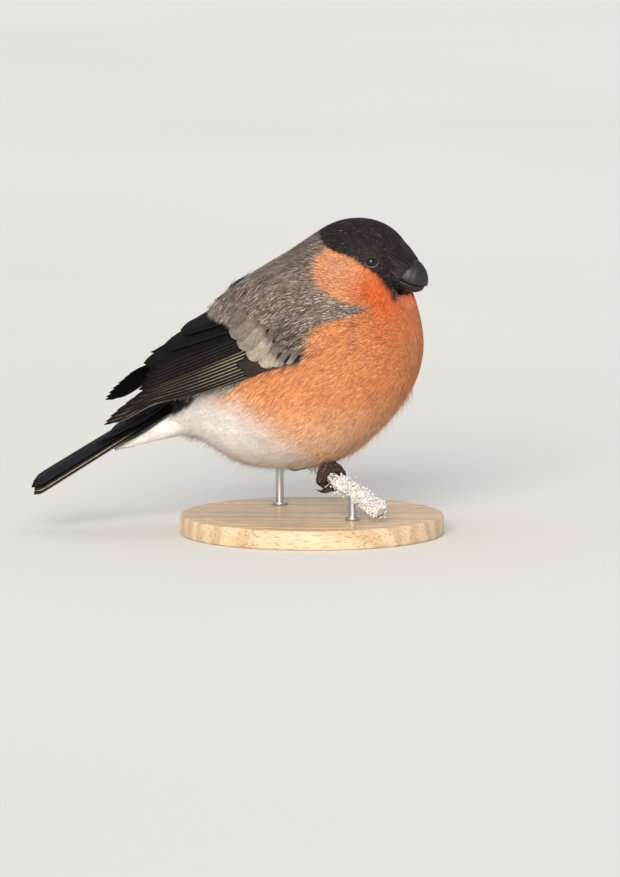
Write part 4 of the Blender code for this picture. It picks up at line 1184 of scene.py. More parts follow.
def add_scapulars(side):
    """Long grey tufts that hang from the shoulder over the bases of the tertials."""
    draw = np.random.default_rng(17)
    v = draw.uniform(14.0, 22.5, SCAPULARS)
    length = draw.uniform(4.0, 6.5, SCAPULARS)
    lean = 0.55 + draw.normal(0, 0.12, SCAPULARS)
    last = np.interp(v, *zip(*SCAPULAR_ENDS)) - length * 0.85 + 1.2 * waves(np.stack([v, v, v], 1), 3.0, 18)
    u = last - draw.gamma(1.2, 2.5, SCAPULARS)
    heights = (np.full(SCAPULARS, 0.6), 1.3 + draw.uniform(-0.1, 0.2, SCAPULARS), draw.uniform(1.2, 1.9, SCAPULARS))
    shade = blend(np.tile(INKS["mantle"], (SCAPULARS, 1)), INKS["mantle_dark"], 0.3 + 0.3 * waves(np.stack([u, v, v], 1), 5.0, 19))
    shade = shade * np.exp(draw.normal(0, STREAKS[GREY], SCAPULARS) - STREAKS[GREY] ** 2 / 2)[:, None]
    sheet_tufts("coat_scapulars", side, u, v, length, lean, heights, draw.uniform(0.22, 0.36, SCAPULARS),
                tuft_shades(shade, shade, np.full(SCAPULARS, GREY)), GREY)


for side, label in ((RIGHT, "right"), (LEFT, "left")):
    add_wing(side, label)
    add_bar_tufts(side)
    add_scapulars(side)

# %% [markdown]
# The tail is a closed fan of six pairs of black feathers, the middle pair on top, on a plane of its own
# that slopes and rolls a little. Only the outermost feathers show a pale line along their edge. Black
# glossy coverts cover the roots above, and soft white ones below.

# %% Tail
TAIL_ROOT = (-33.2, 47.0)
TAIL_SLOPE = math.radians(31.8)
TAIL_ROLL = math.radians(14.0)
TAIL_START, TAIL_LENGTH = 6.5, 60.0
TAIL_PAIRS = 6
TAIL_VANE_WIDTH = 7.0
TAIL_EDGES = (0.0, 0.0, 0.1, 0.9, 0.05, 0.5)
TAIL_FAN, TAIL_DROP, TAIL_FORK = 0.32, 0.36, 0.35
RUMP_COVERTS = [(-3.0, 27.0), (3.2, 26.0), (-1.6, 33.0), (1.8, 31.5), (0.1, 37.5)]
UNDERTAIL = [
    (4.0, 7.4, -0.2, -15.2), (6.9, 7.6, -1.0, -14.5), (12.0, 7.2, -2.0, -11.8), (18.0, 6.3, -2.9, -9.6),
    (24.0, 4.8, -3.4, -7.4), (30.0, 2.8, -3.4, -5.6), (34.0, 0.8, -3.4, -4.4),
]
TAIL_INKS = {"vane": colour(18, 16, 19), "edge": colour(196, 180, 156), "covert": colour(20, 17, 20)}


def tail_point(along, across, up):
    ahead, fall = math.cos(TAIL_SLOPE), math.sin(TAIL_SLOPE)
    lean, stand = math.sin(TAIL_ROLL), math.cos(TAIL_ROLL)
    side = across * stand - up * lean
    rise = across * lean + up * stand
    return np.stack([TAIL_ROOT[0] - along * ahead - rise * fall, side, TAIL_ROOT[1] - along * fall + rise * ahead], -1)


def tail_vane(middle, width, length, top, start, taper):
    share = np.linspace(0, 1, VANE_STATIONS) ** 0.85
    half = width * np.interp(share, (0.0, 0.3, 0.65, 0.93), (0.72, 0.82, 0.95, 1.0)) / 2
    end = np.clip((share - taper) / (1 - taper), 0, 1)
    half = half * np.sqrt(np.maximum(1 - end**2.5, 0.01))
    along = start + (length - start) * share
    centre = middle * (0.75 + 0.25 * share)
    out = np.full_like(share, top)
    return vane_places(tail_point, along, centre - half, centre + half, out, out)


def add_tail():
    draw = np.random.default_rng(12)
    made = []
    for pair in range(TAIL_PAIRS):
        for side in (RIGHT, LEFT):
            length = TAIL_LENGTH + TAIL_FORK * pair
            points, uv = tail_vane(side * (1.5 + TAIL_FAN * pair), TAIL_VANE_WIDTH, length,
                                   -TAIL_DROP * pair - 0.2 * (side < 0), TAIL_START, 0.93)
            if side == LEFT:
                points, uv = points[:, :, ::-1], uv[:, :, ::-1]
            strength = TAIL_EDGES[pair]
            shades = vane_colours(points, TAIL_INKS["vane"], TAIL_INKS["edge"],
                                  lambda s, k=strength: k * smooth_step(s, 0.25, 0.5), draw.uniform(0.9, 1.1))
            made.append((points, uv, shades))
    tail = join_vanes("tail_feathers", made, FEATHER)
    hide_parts("tail")
    made = []
    for i, (middle, reach) in enumerate(RUMP_COVERTS):
        for step in range(3):
            points, uv = tail_vane(middle + draw.uniform(-0.8, 0.8), 5.4, reach - 5.5 * step,
                                   0.5 + 0.1 * i + 0.22 * step, 2.0, 0.7)
            made.append((points, uv, vane_colours(points, TAIL_INKS["covert"], TAIL_INKS["covert"] * 1.6,
                                                  lambda s: 0.3 + 0.0 * s, draw.uniform(0.85, 1.15))))
    coverts = join_vanes("uppertail_coverts", made, FEATHER)
    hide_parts("tail")


add_tail()

# %% [markdown]
# The undertail coverts are long and soft. A smooth core, pulled from a sphere onto a few ovals below the
# tail, carries white tufts that run towards the tail's tip and end in a ragged point.

# %% Undertail coverts
UNDERTAIL_TUFTS = 11000


def undertail_point(share, angle, grow):
    row = through(UNDERTAIL, share)
    middle, half = (row[..., 2] + row[..., 3]) / 2, (row[..., 2] - row[..., 3]) / 2
    return tail_point(row[..., 0], (row[..., 1] + grow) * np.sin(angle), middle + (half + grow) * np.cos(angle))


def pulled_ball(name, segments, rings, place):
    """A closed form from a UV sphere, whose rings are pulled onto place(share, angle)."""
    bpy.ops.object.select_all(action="DESELECT")
    bpy.ops.mesh.primitive_uv_sphere_add(segments=segments, ring_count=rings, radius=1.0)
    obj = bpy.context.object
    obj.name = name
    ball = mesh_points(obj.data)
    turn = np.arccos(np.clip(-ball[:, 2], -1, 1)) / math.pi
    share = np.clip((turn * rings - 1) / (rings - 2), 0.0, 1.0)
    angle = np.arctan2(ball[:, 1], ball[:, 0])
    points = place(share, angle)
    for pole, end in ((turn < 0.5 / rings, share < 1e-6), (turn > 1 - 0.5 / rings, share > 1 - 1e-6)):
        points[pole] = points[end & ~pole].mean(0)
    move_points(obj.data, points * MM)
    return turn_outwards(obj)


def add_undertail():
    core = pulled_ball("undertail_core", 40, 30, lambda s, a: undertail_point(s * 0.94, a, -0.9))
    pale = np.tile(INKS["white"], (len(core.data.vertices), 1))
    paint(core.data, pale)
    dress(core, PLUMAGE[WHITE])
    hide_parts("undertail_coverts")
    draw = np.random.default_rng(41)
    share, angle = draw.uniform(0.0, 0.9, UNDERTAIL_TUFTS), draw.uniform(0.22 * np.pi, 1.78 * np.pi, UNDERTAIL_TUFTS)
    step = draw.uniform(0.16, 0.26, len(share))
    stray = draw.normal(0, 0.07, len(share))
    lift = draw.gamma(1.4, 0.22, len(share)) - 0.3
    roots = undertail_point(share, angle, -1.1)
    middles = undertail_point(share + step / 2, angle + stray / 2, -0.3 + 0.4 * lift)
    tips = undertail_point(share + step, angle + stray, 0.1 + lift)
    outwards = unit(undertail_point(share, angle, 1.0) - undertail_point(share, angle, 0.0))
    tips, middles, _ = pull_to_locks(roots, tips, middles, np.full(len(share), 2.2), draw, np.full(len(share), 0.45))
    shade = blend(np.tile(INKS["white"], (len(share), 1)), INKS["white_dull"], 0.25 + 0.4 * waves(roots, 7.0, 43))
    shade = shade * (1 + draw.normal(0, 0.05, len(share)))[:, None]
    patches = np.stack([0.01 + 0.97 * share, 0.01 + 0.97 * angle / (2 * np.pi)], 1)
    # Painted shade at the tufts' roots and painted light at their tips.
    piece = tufts("coat_undertail", roots, middles, tips, draw.uniform(0.26, 0.42, len(share)), outwards,
                  (shade * 0.97, shade, shade * 1.03), patches)
    dress(piece, PLUMAGE[WHITE])
    print("undertail:", len(share), "tufts")


add_undertail()

# %% [markdown]
# The bill is short and deep, with a curved ridge and a small hook. Each half is pulled from a sphere:
# a half ellipse outside, and flat along the line of the mouth. The nostrils lie under forward-pointing
# bristles at its base, as they do on every bullfinch, so the bristles are made and the nostrils aren't.

# %% Bill
BILL_BASE = (29.3, 80.0)
BILL_LENGTH = 8.0
BILL_TILT = math.radians(17.0)
BILL_TOP, BILL_BOTTOM, BILL_HALF_WIDTH = 5.1, 4.8, 4.7
BILL_HOOK = 1.5
MOUTH_DROP = 1.3
MOUTH_GAP = 0.15
BILL_ROOT = 0.16
BRISTLES = 3200


def bill_point(along, side, up):
    ahead, rise = math.cos(BILL_TILT), math.sin(BILL_TILT)
    x = BILL_BASE[0] + along * ahead + up * rise
    z = BILL_BASE[1] - along * rise + up * ahead
    return turned(np.stack(np.broadcast_arrays(x, side, z), -1))


def bill_section(share, upper):
    """The edge, height and half width of one half of the bill, at shares of its length."""
    ahead = np.maximum(share, 0.0)
    reach = share if upper else share * 0.9
    mouth = -MOUTH_DROP - 0.5 * np.sin(np.pi * np.clip(reach, 0, 1)) - (BILL_HOOK - MOUTH_DROP) * ahead**2
    edge = mouth + (MOUTH_GAP if upper else -MOUTH_GAP)
    fall = np.sqrt(np.maximum(1 - ahead**2.1, 0.0))
    height = (BILL_TOP - edge) * fall + 0.35 if upper else -((BILL_BOTTOM + edge) * fall + 0.3)
    width = (BILL_HALF_WIDTH - (0.0 if upper else 0.35)) * np.maximum(1 - ahead**1.9, 0.0) ** 0.55 + 0.25
    return reach * BILL_LENGTH, edge, height, width


def bill_half(name, upper):
    def place(share, angle):
        share = -BILL_ROOT + (1 + BILL_ROOT) * share
        along, edge, height, width = bill_section(share, upper)
        outer = np.maximum(np.sin(angle), 0.0)
        keel = 1 + 0.035 * np.exp(-((np.cos(angle) / 0.16) ** 2)) * (1 if upper else 0.4)
        growth = 1 + 0.006 * np.sin(26 * share + 2.2 * np.cos(angle))
        return bill_point(along, width * np.cos(angle) * growth, edge + height * outer * keel * growth)

    obj = pulled_ball(name, 48, 44, place)
    points = mesh_points(obj.data) / MM
    worn = near(np.stack([points[:, 0], points[:, 1], points[:, 2]], -1), (35.5, 75.5), 1.8)
    shades = blend(np.tile(colour(36, 33, 35), (len(points), 1)), colour(74, 68, 68), 0.5 * worn)
    paint(obj.data, shades)
    dress(obj, HORN)
    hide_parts("bill_upper" if upper else "bill_lower")
    return obj


def horn_material():
    made, nodes, links, shader = new_material("bill_horn", 0.4, Specular_IOR_Level=0.28)
    painted = nodes.new("ShaderNodeAttribute")
    painted.attribute_name = "Plumage"
    shaded = patchy(nodes, links, painted.outputs["Color"], 900.0, 0.75, 1.3)
    links.new(shaded, shader.inputs["Base Color"])
    place = nodes.new("ShaderNodeTexCoord")
    fine = noise_map(nodes, links, place.outputs["Object"], 1500.0)
    links.new(ramp(nodes, links, fine, (0.3, 0.3, 0.3), (0.52, 0.52, 0.52)), shader.inputs["Roughness"])
    add_bump(nodes, links, fine, shader, 0.3, 0.0001)
    return made


def add_bristles():
    """Black bristles that lie forward from the face over the bill's base."""
    draw = np.random.default_rng(51)
    angle = draw.uniform(0, 2 * np.pi, BRISTLES)
    face = np.pi / 2 - angle
    share = draw.uniform(0.90, 0.995, BRISTLES)
    rise = np.sin(angle)
    reach = np.interp(rise, (-1.0, -0.3, 0.1, 0.6, 1.0), (1.0, 0.7, 1.5, 2.4, 2.0)) * draw.uniform(0.6, 1.25, BRISTLES)
    sink = reach / BILL_LENGTH
    fall, close = np.sqrt(1 - sink**2.1), (1 - sink**1.9) ** 0.55
    away = draw.uniform(0.1, 0.4, BRISTLES)
    top = np.where(rise > 0, BILL_TOP + 0.35, BILL_BOTTOM + 0.3)
    roots = body_point(share, face, -0.3)
    tips = bill_point(reach, (BILL_HALF_WIDTH * close + 0.25 + away) * np.cos(angle), (top * fall + away) * rise)
    outwards = unit(body_point(share, face, 1.0) - body_point(share, face))
    middles = (roots + tips) / 2 + outwards * 0.35
    shade = blend(np.tile(INKS["cap"], (BRISTLES, 1)), INKS["cap_sheen"], draw.uniform(0.0, 1.0, BRISTLES))
    shade = shade * np.exp(draw.normal(-0.2, 0.7, (BRISTLES, 1)))
    patches = np.stack([0.97 + 0.001 * reach, 0.01 + 0.97 * angle / (2 * np.pi)], 1)
    piece = tufts("bill_bristles", roots, middles, tips, draw.uniform(0.16, 0.3, BRISTLES), outwards,
                  (shade, shade, shade * 1.2), patches)
    dress(piece, PLUMAGE[BLACK])
    print("bristles:", BRISTLES)


HORN = horn_material()
bill_half("bill_upper_horn", True)
bill_half("bill_lower_horn", False)
add_bristles()

# %% [markdown]
# The eye is a wet ball, dark brown round a black pupil, with a clear bulge in front. It sits in a ring of
# lids that follow its surface. The lower lid carries a painted highlight: a thin grey line where it would catch the
# light.

# %% Eyes and lids
LID_HALF_WIDTH, LID_HALF_HEIGHT, LID_ROLL = 1.98, 1.52, 0.19
PUPIL, IRIS = math.radians(26.0), math.radians(58.0)


def eye_material():
    made, nodes, links, shader = new_material("eye", 0.1, Specular_IOR_Level=0.2, Coat_Weight=0.3, Coat_Roughness=0.03)
    painted = nodes.new("ShaderNodeAttribute")
    painted.attribute_name = "Plumage"
    links.new(patchy(nodes, links, painted.outputs["Color"], 2500.0, 0.7, 1.3), shader.inputs["Base Color"])
    return made


def lid_material():
    made, nodes, links, shader = new_material("eyelid_skin", 0.6)
    painted = nodes.new("ShaderNodeAttribute")
    painted.attribute_name = "Plumage"
    links.new(patchy(nodes, links, painted.outputs["Color"], 3000.0, 0.75, 1.2), shader.inputs["Base Color"])
    place = nodes.new("ShaderNodeTexCoord")
    add_bump(nodes, links, noise_map(nodes, links, place.outputs["Object"], 4000.0), shader, 0.4, 0.0001)
    return made


def eye_axes(side):
    """Out of the eye, up across it, and forwards across it."""
    out = eye_direction(side)
    up = unit(np.array([0.0, 0.0, 1.0]) - out * out[2])
    return out, up, np.cross(up, out)


def add_eye(side, label):
    out, up, ahead = eye_axes(side)
    bpy.ops.object.select_all(action="DESELECT")
    bpy.ops.mesh.primitive_uv_sphere_add(segments=48, ring_count=32, radius=EYE_RADIUS)
    eye = bpy.context.object
    eye.name = f"eyeball_{label}"
    ball = mesh_points(eye.data)
    off_axis = np.arccos(np.clip(ball[:, 2] / EYE_RADIUS, -1, 1))
    ball = ball * (1 + 0.06 * np.exp(-((off_axis / 0.55) ** 2)))[:, None]
    rim = smooth_step(off_axis, PUPIL - 0.04, PUPIL + 0.04)
    outer = smooth_step(off_axis, IRIS - 0.12, IRIS)
    shade = blend(np.tile(colour(8, 7, 8), (len(ball), 1)), colour(34, 22, 17), rim)
    paint(eye.data, blend(shade, colour(12, 10, 10), outer))
    places = eye_centre(side) + ball[:, :1] * ahead + ball[:, 1:2] * up + ball[:, 2:3] * out
    move_points(eye.data, places * MM)
    turn_outwards(eye)
    dress(eye, EYE)
    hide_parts(f"eye_{label}")
    add_lids(side, label)


def add_lids(side, label):
    out, up, ahead = eye_axes(side)
    bpy.ops.object.select_all(action="DESELECT")
    bpy.ops.mesh.primitive_torus_add(major_segments=64, minor_segments=14, major_radius=10.0, minor_radius=1.0)
    lids = bpy.context.object
    lids.name = f"eyelids_{label}"
    ring = mesh_points(lids.data)
    turn = np.arctan2(ring[:, 1], ring[:, 0])
    spread, rise = np.hypot(ring[:, 0], ring[:, 1]) - 10.0, ring[:, 2]
    roll = LID_ROLL * (1 + 0.12 * np.sin(turn * 17.0))
    wide = (LID_HALF_WIDTH + roll * spread) * np.cos(turn) * (1 + 0.05 * np.abs(np.cos(turn)) ** 6)
    tall = (LID_HALF_HEIGHT + roll * spread) * np.sin(turn)
    from_middle = np.hypot(LID_HALF_WIDTH * np.cos(turn), LID_HALF_HEIGHT * np.sin(turn))
    deep = np.sqrt(np.maximum((EYE_RADIUS + 0.04) ** 2 - from_middle**2, 0.1)) + roll * rise
    places = eye_centre(side) + wide[:, None] * ahead + tall[:, None] * up + deep[:, None] * out
    move_points(lids.data, places * MM)
    turn_outwards(lids)
    # Painted highlight: a thin pale grey line along the lower lid's outer roll.
    low = smooth_step(-np.sin(turn), -0.1, 0.7) * smooth_step(rise, -0.2, 0.6)
    paint(lids.data, blend(np.tile(colour(34, 30, 30), (len(turn), 1)), colour(100, 91, 84), 0.8 * low))
    dress(lids, LIDS)


EYE = eye_material()
LIDS = lid_material()
add_eye(RIGHT, "right")
add_eye(LEFT, "left")
print("eye aperture:", round(2 * (LID_HALF_WIDTH - LID_ROLL), 2), "mm wide")

# %% [markdown]
# The twig follows the same few points as its solid. Its bark is a tube with cracks and swellings in the
# mesh. Hoar frost covers it: rounded lumps of many sizes, and fine needles that stand off them. Both are
# copies of a small shape, joined to one piece each. The frost leaves room for the feet and the rods.

# %% Twig and frost
TWIG_ROUTE = [
    (-12.5, 27.0, 23.6), (-8.6, 17.0, 24.2), (-4.2, 8.2, 23.3), (0.9, 0.0, 21.0), (6.4, -8.0, 17.7),
    (12.8, -16.0, 13.9), (20.6, -24.5, 9.6),
]
TWIG_RADIUS = 1.7
FOOT_PLACES = {RIGHT: -6.2, LEFT: 8.0}
ROD_PLACES = (0.12, 0.82)
FROST_LUMPS, FROST_CRYSTALS = 420, 3600
FOOT_CLEAR = 5.4


def twig_frame(share):
    """The twig's middle, its direction, and up and forwards across it, at shares of its length."""
    share = np.asarray(share, float)
    here = through(TWIG_ROUTE, share)
    along = unit(through(TWIG_ROUTE, np.minimum(share + 0.01, 1.0)) - through(TWIG_ROUTE, np.maximum(share - 0.01, 0.0)))
    up = unit(np.array([0.0, 0.0, 1.0]) - along * along[..., 2:3])
    ahead = np.cross(along, up)
    ahead *= np.sign(ahead[..., 0:1])
    return here, along, up, ahead


def bark_material():
    made, nodes, links, shader = new_material("frosted_bark", 0.85)
    place = nodes.new("ShaderNodeTexCoord")
    cracks = noise_map(nodes, links, place.outputs["Object"], 500.0, 6.0)
    brown = ramp(nodes, links, cracks, colour(58, 40, 32), colour(126, 98, 80), 0.4, 0.62)
    rime = noise_map(nodes, links, place.outputs["Object"], 900.0, 4.0)
    frosted = nodes.new("ShaderNodeMix")
    frosted.data_type = "RGBA"
    cover = nodes.new("ShaderNodeMapRange")
    cover.inputs["From Min"].default_value = 0.38
    cover.inputs["From Max"].default_value = 0.5
    links.new(rime, cover.inputs["Value"])
    links.new(cover.outputs["Result"], frosted.inputs["Factor"])
    links.new(brown, frosted.inputs[6])
    frosted.inputs[7].default_value = (*colour(206, 203, 200), 1.0)
    links.new(frosted.outputs[2], shader.inputs["Base Color"])
    add_bump(nodes, links, cracks, shader, 0.8, 0.0005)
    return made


def frost_material():
    made, nodes, links, shader = new_material("hoar_frost", 0.4, Specular_IOR_Level=0.4)
    place = nodes.new("ShaderNodeTexCoord")
    grains = noise_map(nodes, links, place.outputs["Object"], 1800.0, 4.0)
    links.new(ramp(nodes, links, grains, colour(196, 193, 190), colour(226, 223, 219)), shader.inputs["Base Color"])
    add_bump(nodes, links, grains, shader, 0.6, 0.0003)
    return made


def add_twig():
    def place(share, angle):
        here, along, up, ahead = twig_frame(share)
        around = up * np.cos(angle)[:, None] + ahead * np.sin(angle)[:, None]
        rough = 1 + 0.05 * waves(here + around * 2.0, 2.2, 61) + 0.04 * waves(here * 0.6 + around * 3.0, 0.8, 62)
        return here + around * (TWIG_RADIUS * rough)[:, None]

    twig = pulled_ball("twig_bark", 36, 150, place)
    dress(twig, bark_material())
    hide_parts("perch_twig")
    return twig


def frost_places(count, draw):
    """Places on the bark, thicker on top, clear of the feet and rods."""
    share, angle = draw.uniform(0.0, 1.0, count * 3), draw.uniform(-np.pi, np.pi, count * 3)
    here, along, up, ahead = twig_frame(share)
    around = up * np.cos(angle)[:, None] + ahead * np.sin(angle)[:, None]
    keep = draw.uniform(0, 1, len(share)) < 0.55 + 0.45 * np.cos(angle)
    for side in FOOT_PLACES:
        keep &= np.linalg.norm(here - foot_on_twig(side)[0], axis=1) > FOOT_CLEAR
    for place in ROD_PLACES:
        keep &= (np.abs(share - place) > 0.03) | (np.cos(angle) > 0.1)
    under_belly = (here[:, 1] > -9.0) & (here[:, 1] < 20.0)
    return here[keep][:count], around[keep][:count], under_belly[keep][:count]


def repeated(name, shape_points, shape_faces, places):
    """One mesh from copies of a small shape, each with its own points already placed."""
    faces = shape_faces[None] + len(shape_points) * np.arange(len(places))[:, None, None]
    return mesh_object(name, places.reshape(-1, 3), faces.reshape(-1, 3))


def seed_shape(subdivisions):
    """The points and triangles of a small ball, for copies."""
    bpy.ops.object.select_all(action="DESELECT")
    bpy.ops.mesh.primitive_ico_sphere_add(subdivisions=subdivisions, radius=1.0)
    seed = bpy.context.object
    points = mesh_points(seed.data)
    faces = np.array([list(p.vertices) for p in seed.data.polygons])
    bpy.data.objects.remove(seed)
    return points, faces


def add_frost():
    draw = np.random.default_rng(71)
    ball, faces = seed_shape(2)
    here, around, under_belly = frost_places(FROST_LUMPS, draw)
    size = draw.uniform(0.35, 1.0, len(here)) * np.where(under_belly, 0.6, 1.0)
    stretch = draw.uniform(0.7, 1.25, (len(here), 1, 3))
    bumps = 1 + 0.12 * draw.normal(0, 1, (len(here), len(ball), 1))
    middle = here + around * (TWIG_RADIUS * 0.95 + size * 0.3)[:, None]
    lumps = middle[:, None, :] + ball[None] * size[:, None, None] * stretch * bumps
    lump_piece = repeated("frost_lumps", ball, faces, lumps)
    lump_piece.data.materials.append(FROST)
    crystal, crystal_faces = seed_shape(1)
    here, around, under_belly = frost_places(FROST_CRYSTALS, draw)
    grain = draw.uniform(0.18, 0.38, len(here))[:, None, None] * draw.uniform(0.6, 1.5, (len(here), len(crystal), 1))
    out = TWIG_RADIUS + draw.gamma(2.0, 0.26, len(here)) * np.where(under_belly, 0.5, 1.0)
    middle = here + around * out[:, None] + draw.normal(0, 0.3, here.shape)
    crystals = middle[:, None, :] + crystal[None] * grain
    crystal_piece = repeated("frost_crystals", crystal, crystal_faces, crystals)
    for piece in (lump_piece, crystal_piece):
        dress(piece, FROST)
        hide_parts("perch_twig")
    crystal_piece.data.shade_flat()
    print("frost:", len(lumps), "lumps,", len(crystals), "crystals")


def foot_on_twig(side):
    """The twig's middle under one foot, the twig's direction, up and forwards there."""
    shares = np.linspace(0, 1, 401)
    share = shares[np.argmin(np.abs(through(TWIG_ROUTE, shares)[:, 1] - FOOT_PLACES[side]))]
    return twig_frame(share)


FROST = frost_material()
add_twig()
add_frost()

# %% [markdown]
# Each foot grips the twig with three toes in front and one behind. A toe is a sphere pulled into a curled
# tube, with a row of plates along its top and soft pads below, and it ends in a curved claw. The shank
# rises from them into the belly feathers.

# %% Legs and feet
TOE_RADIUS = 1.32
TOE_ARCH = 0.1
SOLID_TOE_RADIUS = 1.0
TOE_GAP = 0.3
# Each front toe's place along the twig, the angles where it and its claw end, and how far the claw lifts.
FRONT_TOES = [(-2.3, 132, 180, 1.9), (0.0, 146, 200, 1.9), (2.3, 186, 240, 3.0)]
TOE_JOINTS, TOE_BEND = 3, 0.3
TARSUS_RADIUS = 1.1


def leg_material():
    made, nodes, links, shader = new_material("leg_skin", 0.55, Specular_IOR_Level=0.4)
    place = nodes.new("ShaderNodeTexCoord")
    scales = add_node(nodes, "ShaderNodeTexVoronoi", Scale=1500.0)
    links.new(place.outputs["Object"], scales.inputs["Vector"])
    tone = ramp(nodes, links, scales.outputs["Distance"], colour(86, 60, 47), colour(36, 25, 20), 0.1, 0.6)
    links.new(patchy(nodes, links, tone, 420.0, 0.7, 1.2), shader.inputs["Base Color"])
    add_bump(nodes, links, scales.outputs["Distance"], shader, 1.0, 0.0003)
    return made


def claw_material():
    made, nodes, links, shader = new_material("claw_horn", 0.3, Coat_Weight=0.2)
    place = nodes.new("ShaderNodeTexCoord")
    tone = noise_map(nodes, links, place.outputs["Object"], 700.0)
    links.new(ramp(nodes, links, tone, colour(34, 27, 26), colour(64, 52, 48)), shader.inputs["Base Color"])
    return made


def toe_places(side, offset, first, last, lifted, share):
    """Points along a toe or claw curled round the twig, and outwards there."""
    middle, along, up, ahead = foot_on_twig(side)
    reach = TWIG_RADIUS * 1.06 + TOE_GAP + SOLID_TOE_RADIUS + TOE_ARCH
    angle = np.radians(first + (last - first) * share)[:, None]
    bend = 0.0 if lifted else TOE_BEND
    far = (reach + lifted * share + bend * np.abs(np.sin(np.pi * TOE_JOINTS * share)))[:, None]
    spread = 1.0 if lifted else (0.35 + 0.65 * np.minimum(2 * share, 1.0))[:, None]
    outwards = up * np.cos(angle) + ahead * np.sin(angle)
    return middle + along * offset * spread + outwards * far, outwards, along


def curled(name, side, offset, first, last, lifted, radius, rings, material):
    """A toe or claw, from its radius as a function of share and of how far round it a point is."""
    def place(share, angle):
        middle, outwards, beside = toe_places(side, offset, first, last, lifted, share)
        far = radius(share, np.cos(angle))[:, None]
        return middle + (outwards * np.cos(angle)[:, None] + beside * np.sin(angle)[:, None]) * far

    obj = pulled_ball(name, 20, rings, place)
    return dress(obj, material)


def toe_radius(start, end, plates, joints):
    """Plates show as steps on the top, and pads as swellings below, between the joints."""
    def radius(share, top):
        base = start + (end - start) * share
        step = 0.11 * (1 - np.mod(share * plates, 1.0)) * np.clip(top, 0, 1)
        pad = (0.5 + 0.2 * np.abs(np.sin(np.pi * share * joints))) * np.clip(-top, 0, 1)
        return base * (0.94 + step + pad)

    return radius


def claw_radius(start):
    return lambda share, top: start * (1 - share) ** 0.75 * (1 + 0.12 * top) + 0.06


def add_leg(side, label):
    pieces = []
    for number, (offset, last, claw, lifted) in enumerate(FRONT_TOES):
        pieces.append(curled(f"toe_{label}_{number + 1}", side, offset, -22, last, 0.0,
                             toe_radius(TOE_RADIUS, TOE_RADIUS * 0.74, 13, TOE_JOINTS), 60, LEG))
        curled(f"claw_{label}_{number + 1}", side, offset, last - 10, claw, lifted,
               claw_radius(0.8), 30, CLAW)
    pieces.append(curled(f"toe_{label}_back", side, 0.5, -18, -130, 0.0,
                         toe_radius(TOE_RADIUS * 1.15, TOE_RADIUS, 9, 2), 50, LEG))
    curled(f"claw_{label}_back", side, 0.5, -120, -172, 1.0, claw_radius(0.82), 30, CLAW)
    start = toe_places(side, 0.0, -24, 0, 0.0, np.zeros(1))[0][0]
    lean = unit(np.array([-0.22, -0.10 * side, 1.0]))
    ahead = unit(np.cross(lean, np.array([0.0, -1.0, 0.0])))
    beside = np.cross(lean, ahead)

    def shank_place(share, angle):
        scute = 1 + 0.05 * (1 - np.mod(share * 7, 1.0)) * np.clip(np.cos(angle), 0, 1)
        far = TARSUS_RADIUS * (1.15 - 0.2 * np.minimum(share * 3, 1.0)) * scute
        around = ahead * np.cos(angle)[:, None] + beside * np.sin(angle)[:, None]
        return start + lean * (-0.3 + 9.8 * share)[:, None] + around * far[:, None]

    shank = pulled_ball(f"shank_{label}", 24, 60, shank_place)
    dress(shank, LEG)
    for piece in (shank, *pieces):
        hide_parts(f"leg_{label}")


LEG = leg_material()
CLAW = claw_material()
add_leg(RIGHT, "right")
add_leg(LEFT, "left")
print("feet at y", FOOT_PLACES, "mm")

# %% [markdown]
# The stand isn't part of the bird. A turned ash base carries two steel rods. The base is a cylinder whose
# top is inset and lowered to a shallow groove, with its edges bevelled. The rods keep their solids, and
# each gets a small collar where it enters the wood.

# %% Stand
BASE_RADIUS, BASE_HEIGHT = 40.0, 6.0
BASE_BEVEL = 1.2
GROOVE_IN, GROOVE_WIDE, GROOVE_DEEP = 5.0, 1.2, 0.5
COLLAR_RADIUS, COLLAR_HEIGHT = 2.4, 1.2


def wood_material():
    made, nodes, links, shader = new_material("oiled_ash", 0.5, Coat_Weight=0.08)
    place = nodes.new("ShaderNodeTexCoord")
    stretch = nodes.new("ShaderNodeMapping")
    stretch.inputs["Scale"].default_value = (0.12, 1.0, 1.0)
    links.new(place.outputs["Object"], stretch.inputs["Vector"])
    rings = add_node(nodes, "ShaderNodeTexWave", Scale=42.0, Distortion=14.0, Detail=3.0, Detail_Scale=0.9)
    rings.bands_direction = "Y"
    links.new(stretch.outputs["Vector"], rings.inputs["Vector"])
    pores = noise_map(nodes, links, stretch.outputs["Vector"], 1800.0, 4.0)
    grain = ramp(nodes, links, rings.outputs["Fac"], colour(198, 168, 130), colour(216, 190, 154), 0.15, 0.85)
    tone = patchy(nodes, links, grain, 60.0, 0.92, 1.06)
    mixed = nodes.new("ShaderNodeMix")
    mixed.data_type = "RGBA"
    mixed.blend_type = "MULTIPLY"
    mixed.inputs["Factor"].default_value = 0.5
    links.new(tone, mixed.inputs[6])
    links.new(ramp(nodes, links, pores, colour(150, 130, 112), (1.0, 1.0, 1.0), 0.36, 0.46), mixed.inputs[7])
    links.new(mixed.outputs[2], shader.inputs["Base Color"])
    add_bump(nodes, links, pores, shader, 0.25, 0.0002)
    return made


def steel_material():
    made, nodes, links, shader = new_material("brushed_steel", 0.32, Metallic=1.0)
    place = nodes.new("ShaderNodeTexCoord")
    stretch = nodes.new("ShaderNodeMapping")
    stretch.inputs["Scale"].default_value = (1.0, 1.0, 0.04)
    links.new(place.outputs["Object"], stretch.inputs["Vector"])
    lines = noise_map(nodes, links, stretch.outputs["Vector"], 4000.0)
    links.new(ramp(nodes, links, lines, colour(170, 170, 174), colour(206, 206, 208)), shader.inputs["Base Color"])
    links.new(ramp(nodes, links, lines, (0.25, 0.25, 0.25), (0.42, 0.42, 0.42)), shader.inputs["Roughness"])
    return made


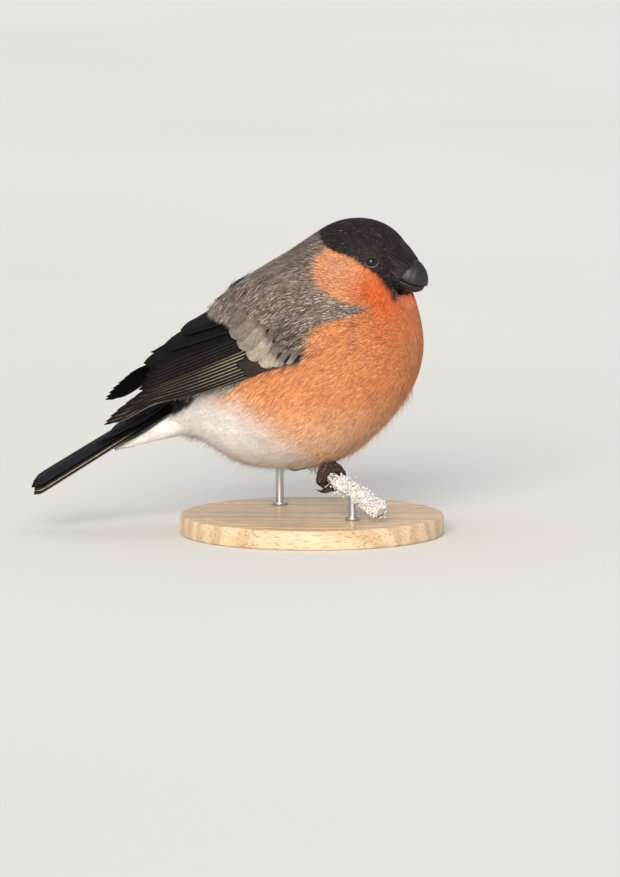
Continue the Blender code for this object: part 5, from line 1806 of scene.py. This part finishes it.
def apply_modifiers(obj):
    bpy.context.view_layer.objects.active = obj
    for modifier in list(obj.modifiers):
        bpy.ops.object.modifier_apply(modifier=modifier.name)


def settle(obj):
    """Moves a primitive's place into its mesh, so that its object sits at the origin."""
    obj.data.transform(obj.matrix_world)
    obj.matrix_world = Matrix.Identity(4)


def add_base():
    bpy.ops.object.select_all(action="DESELECT")
    bpy.ops.mesh.primitive_cylinder_add(
        vertices=160, radius=BASE_RADIUS * MM, depth=BASE_HEIGHT * MM, location=(0, 0, BASE_HEIGHT * MM / 2)
    )
    base = bpy.context.object
    base.name = "stand_base_wood"
    settle(base)
    bpy.ops.object.mode_set(mode="EDIT")
    bpy.ops.mesh.select_mode(type="FACE")
    bpy.ops.mesh.select_all(action="DESELECT")
    bpy.ops.object.mode_set(mode="OBJECT")
    for face in base.data.polygons:
        face.select = face.normal.z > 0.9
    bpy.ops.object.mode_set(mode="EDIT")
    bpy.ops.mesh.inset(thickness=GROOVE_IN * MM)
    bpy.ops.mesh.inset(thickness=GROOVE_WIDE * MM / 2)
    bpy.ops.transform.translate(value=(0, 0, -GROOVE_DEEP * MM))
    bpy.ops.mesh.inset(thickness=GROOVE_WIDE * MM / 2)
    bpy.ops.transform.translate(value=(0, 0, GROOVE_DEEP * MM))
    bpy.ops.object.mode_set(mode="OBJECT")
    bevel = base.modifiers.new("edge", "BEVEL")
    bevel.width = BASE_BEVEL * MM
    bevel.segments = 4
    bevel.limit_method = "ANGLE"
    bevel.angle_limit = math.radians(60)
    apply_modifiers(base)
    base.data.materials.append(wood_material())
    bpy.ops.object.select_all(action="DESELECT")
    base.select_set(True)
    bpy.context.view_layer.objects.active = base
    bpy.ops.object.shade_smooth_by_angle(angle=math.radians(25))
    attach(base, "root")
    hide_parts("stand_base")
    print("base:", len(base.data.polygons), "faces")


def add_rods():
    steel = steel_material()
    for name, place in (("far", ROD_PLACES[0]), ("near", ROD_PLACES[1])):
        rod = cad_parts[f"stand_rod_{name}"]
        rod.data.materials.clear()
        rod.data.materials.append(steel)
        top = through(TWIG_ROUTE, np.array(place))
        bpy.ops.object.select_all(action="DESELECT")
        bpy.ops.mesh.primitive_cylinder_add(
            vertices=48, radius=COLLAR_RADIUS * MM, depth=COLLAR_HEIGHT * MM,
            location=(top[0] * MM, top[1] * MM, (BASE_HEIGHT + COLLAR_HEIGHT / 2) * MM),
        )
        collar = bpy.context.object
        collar.name = f"stand_collar_{name}"
        settle(collar)
        bevel = collar.modifiers.new("edge", "BEVEL")
        bevel.width = 0.35 * MM
        bevel.segments = 3
        apply_modifiers(collar)
        dress(collar, steel)


add_base()
add_rods()
